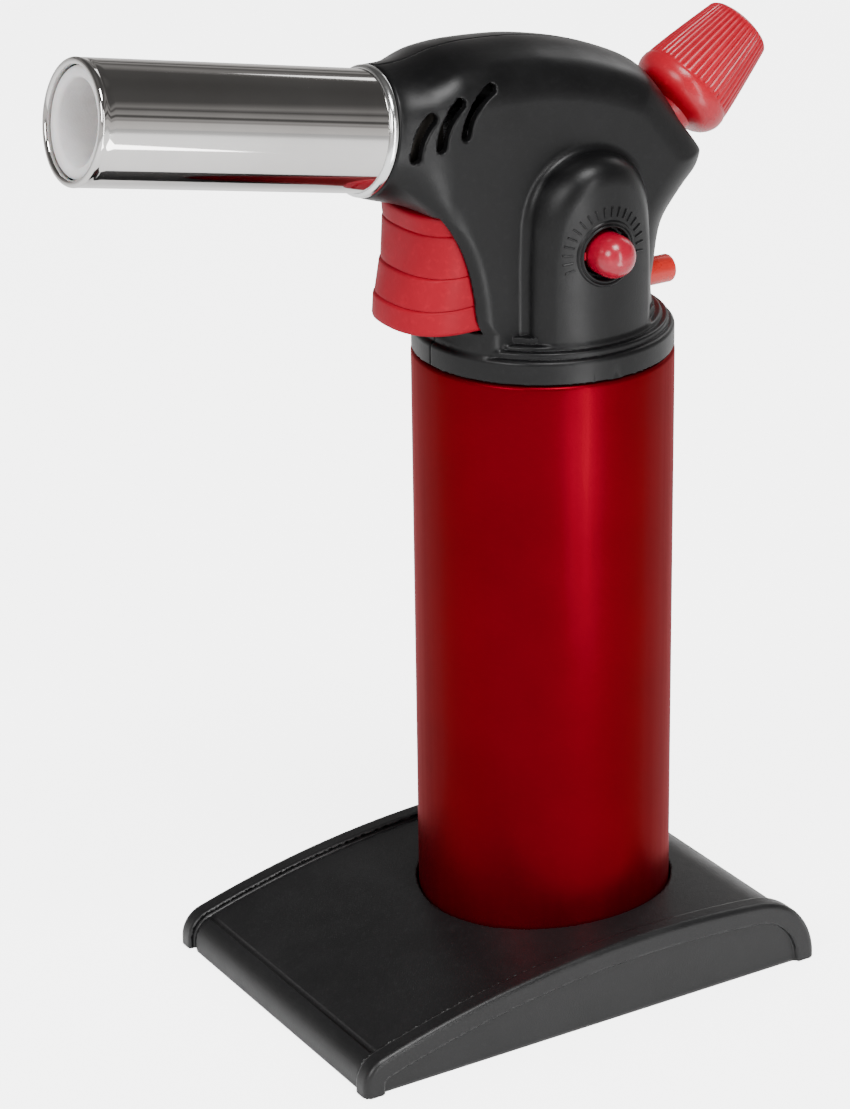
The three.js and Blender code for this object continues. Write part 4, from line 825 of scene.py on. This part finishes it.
def make_nozzle(chrome, bright, ceramic, vent_shade_dark):
    r, end = NOZZLE_RADIUS, NOZZLE_END
    outer = [(38.4, 9.3), (38.4, 10.3), (38.8, 10.3), (39.2, r - 0.5), (39.2, r)]
    outer += [(s, r) for s in np.linspace(42, end - 3, 16)]
    outer += [(end - 1.9, r), (end - 1.6, r - 0.06), (end - 1.3, r)]
    outer += arc(end - 0.7, r - 0.62, 0.68, 90, -90, 12)
    outer += [(end - 1.4, r - 1.2), (end - 2.2, r - 1.05), (50, r - 1.0), (39.4, r - 1.3)]
    tube = lathe("nozzle_shell", outer, nozzle_origin(), NOZZLE_AXIS, chrome, 192, sharp_deg=30)
    place_piece(tube, "torch", "chrome", "nozzle_tube")
    # The root stub inside the head is coloured near-black as painted shade, so the hollow seen through the
    # vents reads dark.
    root = [(28.9, 9.3), (28.9, 10.3), (38.4, 10.3), (38.4, 9.3)]
    stub = lathe("nozzle_root", root, nozzle_origin(), NOZZLE_AXIS, vent_shade_dark, 96)
    place_piece(stub, "torch", "chrome")
    ring = [(39.55, r + 0.02), (39.55, 11.95)]
    ring += arc(39.85, 11.95, 0.28, 180, 90, 4)
    ring += [(40.1, 12.2), (40.5, 12.15), (40.85, 11.95), (41.1, 11.6), (41.1, r + 0.02)]
    trim = lathe("trim_ring", ring, nozzle_origin(), NOZZLE_AXIS, bright, 128)
    place_piece(trim, "torch", "trim_ring", "nozzle_ring")
    cup_outer = r - 1.3
    mouth = end - 0.9
    cup = [(74, 7.8), (74, cup_outer), (mouth - 0.9, cup_outer)]
    cup += arc(mouth - 0.9, cup_outer - 0.9, 0.9, 90, 0, 5)
    cup += arc(mouth - 1.0, 7.8 + 1.0, 1.0, 0, -90, 6)
    cup += [(mouth - 6, 7.75), (mouth - 14, 7.8)]
    flame_cup = lathe("ceramic_cup_fired", cup, nozzle_origin(), NOZZLE_AXIS, ceramic, 128)
    place_piece(flame_cup, "torch", "ceramic", "ceramic_cup")


# ---------------------------------------------------------------- knob

FLUTES = 42


def knob_shape(along, radius, angle):
    start, finish = 3.9, 19.6
    if along < start or along > finish:
        return np.full(len(angle), float(radius))
    depth = 0.34 * min(1, (along - start) / 0.35) * min(1, (finish - along) / 0.5)
    wave = np.abs(np.sin(angle * FLUTES / 2))
    return radius - depth * (1 - wave) ** 1.5


def make_knob(red):
    profile = [(-8.6, 3.0), (-8.6, 4.9), (-8.2, 5.4), (-3.0, 5.4), (-1.9, 5.6), (-1.65, 6.2)]
    profile += [(-1.5, 6.9), (-1.15, 7.75), (-0.6, 8.5), (0.1, 9.1), (0.8, 9.5)]
    profile += [(1.5, 9.78), (2.2, 9.9), (2.8, 9.88)]
    profile += [(3.3, 9.85), (3.6, 9.75), (3.75, 9.67), (3.9, 9.65), (4.1, 9.64), (4.3, 9.63)]
    profile += [(a, 9.63 - 2.78 * ((a - 4.3) / 14.9) ** 1.12) for a in np.linspace(5, 19.1, 14)]
    profile += [(19.3, 6.72), (19.5, 6.55), (19.8, 6.15), (20.15, 5.3)]
    profile += [(20.45, 4.0), (20.6, 2.3), (20.65, 0.02)]
    profile += [(18.0, 0.02), (18.0, 1.9), (-2, 1.9)]
    origin = (KNOB_X, 0, SEAT + KNOB_ABOVE_SEAT)
    axis = (math.cos(KNOB_TILT), 0, math.sin(KNOB_TILT))
    knob = lathe("gas_knob_fluted", profile, origin, axis, red, FLUTES * 8, knob_shape, 45)
    place_piece(knob, "knob", "knob_red", "gas_knob")


# ---------------------------------------------------------------- trigger

TRIGGER_FRONT = [
    (9.6, -35.2), (14.2, -34.75), (14.2, -34.35), (20.4, -32.95), (20.4, -32.6), (28.6, -31.95),
    (28.6, -31.8), (32.4, -32.2),
]  # (height above the seat, front x)
TRIGGER_GROOVES = (14.2, 20.4, 28.6)
GROOVE_SECTION = (
    (-0.5, 0), (-0.22, 0.04), (-0.1, 0.12), (-0.03, 0.28), (0.05, 0.32), (0.13, 0.26), (0.22, 0.06), (0.5, 0)
)
TRIGGER_HALF = 12.1
TRIGGER_WALL = 2.0
TRIGGER_BEND = -24.5  # where the straight sides curve in
TRIGGER_REAR = -19.8
LEG_START, LEG_END = -30.0, 2.0
LEG_INNER, LEG_OUTER = 4.5, 7.0
LEG_BOTTOM, LEG_TOP = 15.4, 18.0


def trigger_rows():
    """(height above the seat, front x, inset) of each row up the trigger."""
    heights = [(9.6, 0.9), (9.65, 0.45), (9.9, 0.12), (10.3, 0)]
    last = 10.3
    for groove in TRIGGER_GROOVES:
        for h in np.linspace(last + 0.6, groove - 0.9, 5):
            heights.append((h, 0))
        heights += [(groove + offset, inset) for offset, inset in GROOVE_SECTION]
        last = groove + 0.5
    for h in np.linspace(last + 0.5, 31.6, 4):
        heights.append((h, 0))
    heights += [(32.1, 0.12), (32.3, 0.4), (32.4, 0.8)]
    known = np.array(TRIGGER_FRONT)
    known[2::2, 0] += 0.12
    return [(h, float(np.interp(h, known[:, 0], known[:, 1])), inset) for h, inset in heights]


def plan_line(front, inset, columns):
    """Plan outline of the trigger's outside, from the rear right round the front to the rear left."""
    half, straight, rear = TRIGGER_HALF - inset, TRIGGER_BEND, TRIGGER_REAR
    tip = front + inset
    side = np.linspace(rear, straight, columns // 4)
    bend = np.linspace(math.pi / 2, -math.pi / 2, columns - 2 * len(side))
    power = 0.82
    cx = straight + (tip - straight) * np.abs(np.cos(bend)) ** power
    cy = half * np.sign(np.sin(bend)) * np.abs(np.sin(bend)) ** power
    x = np.concatenate([side, cx, side[::-1]])
    y = np.concatenate([np.full(len(side), half), cy, np.full(len(side), -half)])
    return x, y


def bar(low, high, name, material):
    """A plain bar between two corners, heights from the seat."""
    ends = [(x, y, SEAT + w) for x in (low[0], high[0]) for y in (low[1], high[1]) for w in (low[2], high[2])]
    faces = [(0, 1, 3, 2), (4, 6, 7, 5), (0, 4, 5, 1), (2, 3, 7, 6), (0, 2, 6, 4), (1, 5, 7, 3)]
    return mesh_piece(name, ends, faces, material, 30)


def make_trigger(red):
    columns = 120
    rows, inner = [], []
    for h, front, inset in trigger_rows():
        x, y = plan_line(front, inset, columns)
        lift = np.clip((h - 9.6) / 4.6, 0, 1) * np.clip((32.4 - h) / 3.8, 0, 1)
        z = SEAT + h + 0.5 * lift * np.clip((x - front) / 12, 0, 1)
        rows.append(np.stack([x, y, z], 1))
    for h, front, _ in reversed(trigger_rows()):
        x, y = plan_line(front + TRIGGER_WALL, 0, columns)
        y = y * (TRIGGER_HALF - TRIGGER_WALL) / TRIGGER_HALF
        inner.append(np.stack([x, y, np.full(columns, SEAT + h)], 1))
    grid = rows + inner
    faces = []
    for i in range(len(grid)):
        k = (i + 1) % len(grid)
        for j in range(columns - 1):
            faces.append((i * columns + j, i * columns + j + 1, k * columns + j + 1, k * columns + j))
    n = len(rows)
    for end in (0, columns - 1):
        for i in range(n - 1):
            a, b = i * columns + end, (i + 1) * columns + end
            c, d = (2 * n - 2 - i) * columns + end, (2 * n - 1 - i) * columns + end
            faces.append((a, b, c, d) if end else (d, c, b, a))
    trigger = mesh_piece("trigger_ribbed", np.vstack(grid), faces, red, 50)
    place_piece(trigger, "trigger", "trigger_red", "trigger")
    for name, side in (("left", -1), ("right", 1)):
        near = (LEG_START, side * LEG_INNER, LEG_BOTTOM)
        far = (LEG_END, side * LEG_OUTER, LEG_TOP)
        place_piece(bar(near, far, f"trigger_leg_{name}", red), "trigger", "trigger_red")


# ---------------------------------------------------------------- buttons


MARK_INNER, MARK_OUTER, MARK_HALF_WIDTH = 7.1, 9.0, 0.17


def on_dome(x, w, height):
    """A point height above the dome's side surface, on the left."""
    return (x, -math.sqrt((DOME_RADIUS + height) ** 2 - x * x), SEAT + w)


def make_lock_button(red, black):
    ball, out = 4.15, -24.3
    quarter = np.radians(np.linspace(0.3, 90, 16))
    profile = [(out - ball * math.cos(t), ball * math.sin(t)) for t in quarter]
    profile += [(out + 1.2, ball), (-17.6, ball), (-17.4, ball - 0.2), (-17.4, 0.02)]
    centre = (0, 0, SEAT + BALL_ABOVE_SEAT)
    button = lathe("lock_button_ball", profile, centre, (0, 1, 0), red, 96, sharp_deg=50)
    stem_line = [(-18.4, 0.02), (-18.4, 2.2), (-11.8, 2.2), (-11.8, 0.02)]
    stem_centre = (0, 0, SEAT + LOCK_ABOVE_SEAT)
    stem = lathe("lock_button_stem", stem_line, stem_centre, (0, 1, 0), red, 48)
    tab = []
    for y in (-21.6, -18.2):
        for x, w in ((-4.2, -0.8), (-5.35, -0.8), (-5.6, -0.55), (-5.6, 0.55), (-5.35, 0.8), (-4.2, 0.8)):
            tab.append((x, y, SEAT + BALL_ABOVE_SEAT + w))
    sides = [(i, (i + 1) % 6, (i + 1) % 6 + 6, i + 6) for i in range(6)]
    key = mesh_piece("lock_button_key", tab, sides + [tuple(range(6)), tuple(range(11, 5, -1))], red, 30)
    bevel = key.modifiers.new("edge", "BEVEL")
    bevel.width, bevel.segments = 0.00018, 2
    place_piece(button, "lock", "button_red", "lock_button")
    place_piece(key, "lock", "button_red")
    place_piece(stem, "lock", "button_red")
    section = [
        (5.07, -1.8), (5.07, 0.1), (5.17, 0.34), (5.37, 0.42), (5.55, 0.32), (5.65, 0.12), (5.75, 0.12),
        (5.87, 0.3),
        (6.07, 0.36), (6.27, 0.24), (6.43, 0.02), (6.55, -0.2), (6.55, -1.0), (5.85, -1.8),
    ]
    around = 96
    points = []
    for radius, height in section:
        for t in np.linspace(0, 2 * math.pi, around, endpoint=False):
            points.append(on_dome(radius * math.cos(t), BALL_ABOVE_SEAT + radius * math.sin(t), height))
    lip = mesh_piece("lock_lip", points, ring_faces(len(section), around), black, 60)
    place_piece(lip, "torch", "housing_black")
    points, faces = [], []
    for degrees in np.arange(-8, 200, 11.5):
        t = math.radians(degrees)
        out_r, across = (math.cos(t), math.sin(t)), (-math.sin(t), math.cos(t))
        base = len(points)
        for height, grow in ((-0.4, 0.0), (0.16, 0.0), (0.24, -0.1)):
            inner, outer, half = MARK_INNER - grow, MARK_OUTER + grow, MARK_HALF_WIDTH + grow
            for a, b in ((inner, -half), (outer, -half), (outer, half), (inner, half)):
                x, w = a * out_r[0] + b * across[0], a * out_r[1] + b * across[1]
                points.append(on_dome(x, BALL_ABOVE_SEAT + w, height))
        for level in (0, 4):
            for i in range(4):
                k = (i + 1) % 4
                faces.append((base + level + i, base + level + k, base + level + 4 + k, base + level + 4 + i))
        faces += [(base + 3, base + 2, base + 1, base), (base + 8, base + 9, base + 10, base + 11)]
    marks = mesh_piece("lock_marks", points, faces, black, 30)
    place_piece(marks, "torch", "housing_black")


def make_rear_button(red):
    r, tip = 2.8, 29.7
    profile = [(13.2, 0.02), (13.2, 1.5), (17.6, 1.5), (17.6, 3.9), (18.6, 3.9), (18.6, r), (24.0, r - 0.02)]
    profile += arc(tip - 0.9, r - 0.92, 0.9, 90, 12, 6)
    profile += [(tip, 1.2), (tip - 0.08, 0.6), (tip - 0.1, 0.02)]
    button = lathe("rear_button_cap", profile, (0, 0, SEAT + REAR_BUTTON_ABOVE_SEAT), (1, 0, 0), red, 96)
    place_piece(button, "rear_push", "button_red", "rear_button")


# ---------------------------------------------------------------- springs


def coil(name, start, end, radius, wire, turns, material, lead=0.75):
    """A compression spring with closed ends, as a tube swept along its helix."""
    start, end = np.array(start, float), np.array(end, float)
    axis, side, other = axis_frame(end - start)
    length = np.linalg.norm(end - start) - wire
    steps = int(turns * 20)
    t = np.linspace(0, 1, steps + 1)
    flat = lead / turns
    rise = np.clip((t - flat) / (1 - 2 * flat), 0, 1)
    angle = t * turns * 2 * math.pi
    spine = start + axis * (wire / 2 + rise[:, None] * length)
    spine = spine + radius * (np.cos(angle)[:, None] * side + np.sin(angle)[:, None] * other)
    ahead = np.gradient(spine, axis=0)
    ahead /= np.linalg.norm(ahead, axis=1, keepdims=True)
    out = np.cos(angle)[:, None] * side + np.sin(angle)[:, None] * other
    out -= (out * ahead).sum(1)[:, None] * ahead
    out /= np.linalg.norm(out, axis=1, keepdims=True)
    third = np.cross(ahead, out)
    sides = 8
    points, faces = [], []
    for i in range(steps + 1):
        for k in range(sides):
            a = 2 * math.pi * k / sides
            points.append(spine[i] + wire / 2 * (math.cos(a) * out[i] + math.sin(a) * third[i]))
    for i in range(steps):
        for k in range(sides):
            m = (k + 1) % sides
            faces.append((i * sides + k, i * sides + m, (i + 1) * sides + m, (i + 1) * sides + k))
    faces += [tuple(range(sides)), tuple(range(steps * sides + sides - 1, steps * sides - 1, -1))]
    return mesh_piece(name, points, faces, material, 60)


def make_springs(steel):
    low, high = box_mm("trigger_spring")
    mid = (low + high) / 2
    spring = coil("trigger_spring_coil", (high[0], 0, mid[2]), (low[0], 0, mid[2]), 3.9, 0.7, 5.5, steel)
    place_piece(spring, "torch", "spring_steel", "trigger_spring")
    anchor = Vector(to_frame((high[0], 0, mid[2])))
    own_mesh(spring)
    low, high = box_mm("refill_valve_spring")
    mid = (low + high) / 2
    spring = coil("refill_spring_coil", (0, 0, high[2]), (0, 0, low[2]), 1.85, 0.45, 6.5, steel)
    place_piece(spring, "torch", "spring_steel", "refill_valve_spring")
    Vector(to_frame((0, 0, high[2])))
    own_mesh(spring)


# ---------------------------------------------------------------- build


def paint(names, material):
    for name in names:
        data = NODES[name].data
        if not data.materials:
            data.materials.append(material)
        for slot in NODES[name].material_slots:
            slot.material = material


def make_stage():
    floor_graph = Graph("studio_floor")
    cloud = floor_graph.noise(3, 2)
    seen = floor_graph.nodes.new("ShaderNodeLightPath").outputs["Is Camera Ray"]
    glow = floor_graph.spread(seen, 0.0, 4.0, (0, 1))
    floor_graph.set(Specular_IOR_Level=0.1, Emission_Color=(1, 1, 1, 1))
    paper = floor_graph.plug(
        Base_Color=floor_graph.mix(floor_graph.spread(cloud, 0, 1), (0.90, 0.90, 0.90), (0.93, 0.93, 0.93)),
        Roughness=floor_graph.spread(cloud, 0.85, 0.95),
        Emission_Strength=glow,
    )
    mesh = bpy.data.meshes.new("floor")
    size = 6.0
    corners = [(-size, -size, 0), (size, -size, 0), (size, size, 0), (-size, size, 0)]
    mesh.from_pydata(corners, [], [(0, 1, 2, 3)])
    mesh.materials.append(paper)
    floor = bpy.data.objects.new("floor", mesh)
    bpy.context.scene.collection.objects.link(floor)
    world = bpy.data.worlds.new("studio")
    bpy.context.scene.world = world
    world.use_nodes = True
    nodes, links = world.node_tree.nodes, world.node_tree.links
    background = next(n for n in nodes if n.type == "BACKGROUND")
    background.inputs["Strength"].default_value = 1.0
    coords = nodes.new("ShaderNodeTexCoord")
    split = nodes.new("ShaderNodeSeparateXYZ")
    links.new(coords.outputs["Generated"], split.inputs[0])
    drift = nodes.new("ShaderNodeTexNoise")
    drift.inputs["Scale"].default_value = 1.6
    links.new(coords.outputs["Generated"], drift.inputs["Vector"])
    sway = nodes.new("ShaderNodeMath")
    sway.operation = "MULTIPLY_ADD"
    links.new(drift.outputs["Fac"], sway.inputs[0])
    sway.inputs[1].default_value = 0.3
    sway.inputs[2].default_value = -0.15
    height = nodes.new("ShaderNodeMath")
    height.operation = "ADD"
    links.new(split.outputs["Z"], height.inputs[0])
    links.new(sway.outputs[0], height.inputs[1])
    ramp = nodes.new("ShaderNodeValToRGB")
    links.new(height.outputs[0], ramp.inputs["Fac"])
    band = ramp.color_ramp
    stops = [
        (0.0, 0.9), (0.16, 0.75), (0.20, 0.35), (0.26, 0.45), (0.30, 0.12), (0.34, 0.10), (0.38, 0.38),
        (0.44, 0.30), (0.48, 0.10), (0.54, 0.28), (0.62, 0.10), (0.8, 0.08), (1.0, 0.15),
    ]
    while len(band.elements) < len(stops):
        band.elements.new(0.5)
    for element, (place, value) in zip(band.elements, stops):
        element.position = place
        element.color = (value, value * 0.97, value * 0.95, 1)
    path = nodes.new("ShaderNodeLightPath")
    mix = nodes.new("ShaderNodeMix")
    mix.data_type = "RGBA"
    links.new(path.outputs["Is Glossy Ray"], mix.inputs["Factor"])
    mix.inputs[6].default_value = (0.8, 0.8, 0.8, 1)
    links.new(ramp.outputs["Color"], mix.inputs[7])
    links.new(mix.outputs[2], background.inputs["Color"])


make_camera()
make_stage()
area_light("key", (-0.1, -0.6, 1.3), (0, 0, 0.12), 0.45, 16)
area_light("left", (-1.1, -0.5, 0.8), (0, 0, 0.12), 0.5, 10)
area_light("strip_front", (0.07, -1.3, 0.35), (0.026, 0, 0.1), 0.14, 9, 1.2)
area_light("rear_right", (1.1, 0.5, 0.8), (0, 0, 0.12), 0.6, 3)
area_light("floor_card", (0.03, -0.6, 0.004), (0.03, -0.6, 1), 0.12, 2.0, 0.7)

black_head = moulded(
    "head_black", (0.0022, 0.0022, 0.0024), (0.004, 0.004, 0.0043), 0.36, 0.35, 0.3, gloss=0.24
)
black_stand = moulded(
    "stand_black_grain", (0.0055, 0.0055, 0.0058), (0.009, 0.009, 0.0094), 0.36, 0.3, 0.6, gloss=0.42
)
red_trigger = moulded(
    "trigger_red_matt", (0.23, 0.001, 0.009), (0.28, 0.002, 0.012), 0.5, 0.5, 0.4, gloss=0.15
)
red_knob = moulded("knob_red_satin", (0.29, 0.001, 0.010), (0.36, 0.002, 0.013), 0.28, 0.5, 0.2, gloss=0.4)
red_button = moulded(
    "button_red_gloss", (0.25, 0.001, 0.014), (0.30, 0.002, 0.018), 0.22, 0.6, 0.08, coat=0.1
)
red_rear = moulded("rear_red_gloss", (0.45, 0.008, 0.004), (0.52, 0.012, 0.006), 0.25, 0.6, 0.08, coat=0.2)
chrome = chrome_material()
bright = brushed("trim_bright", (0.85, 0.86, 0.86), 0.16)
ceramic = ceramic_material()
candy = tank_material()
steel = brushed("steel_drawn", (0.62, 0.62, 0.63), 0.28)
screw_steel = brushed("screw_zinc", (0.34, 0.34, 0.35), 0.35)
spring_steel = brushed("spring_wire", (0.45, 0.45, 0.47), 0.25)
# Near-black steel used as painted shade on the nozzle root seen through the vents.
vent_shade_dark = brushed("steel_painted_shade", (0.05, 0.045, 0.04), 0.55)
brass = brushed("brass_turned", (0.78, 0.56, 0.24), 0.24)
rubber = moulded("seal_rubber", (0.02, 0.02, 0.02), (0.03, 0.03, 0.03), 0.7, 0.3, 0.5)
felt = moulded("filter_felt", (0.55, 0.52, 0.45), (0.68, 0.65, 0.57), 0.9, 0.25, 1.0)
lead = moulded("lead_sleeve", (0.5, 0.48, 0.42), (0.6, 0.58, 0.5), 0.5, 0.4, 0.2)
frame_plastic = moulded("frame_nylon", (0.018, 0.018, 0.018), (0.026, 0.026, 0.026), 0.5, 0.4, 0.4)

slot_paint = {
    "steel": steel, "brass": brass, "spring_steel": spring_steel, "seal_rubber": rubber, "felt": felt,
    "lead_insulation": lead, "frame_plastic": frame_plastic, "ceramic": ceramic, "chrome": chrome,
    "trim_ring": bright, "stand_black": black_stand, "housing_black": black_head, "tank_red": candy,
    "trigger_red": red_trigger, "knob_red": red_knob, "button_red": red_button,
}
for entry in frame["record"]["subparts"]:
    paint([entry["node"]], slot_paint[entry["material_slot"]])

make_head(black_head)
make_screws(screw_steel)
make_stand(black_stand)
make_tank(candy)
make_nozzle(chrome, bright, ceramic, vent_shade_dark)
make_knob(red_knob)
make_trigger(red_trigger)
make_lock_button(red_button, black_head)
make_rear_button(red_rear)
make_springs(spring_steel)
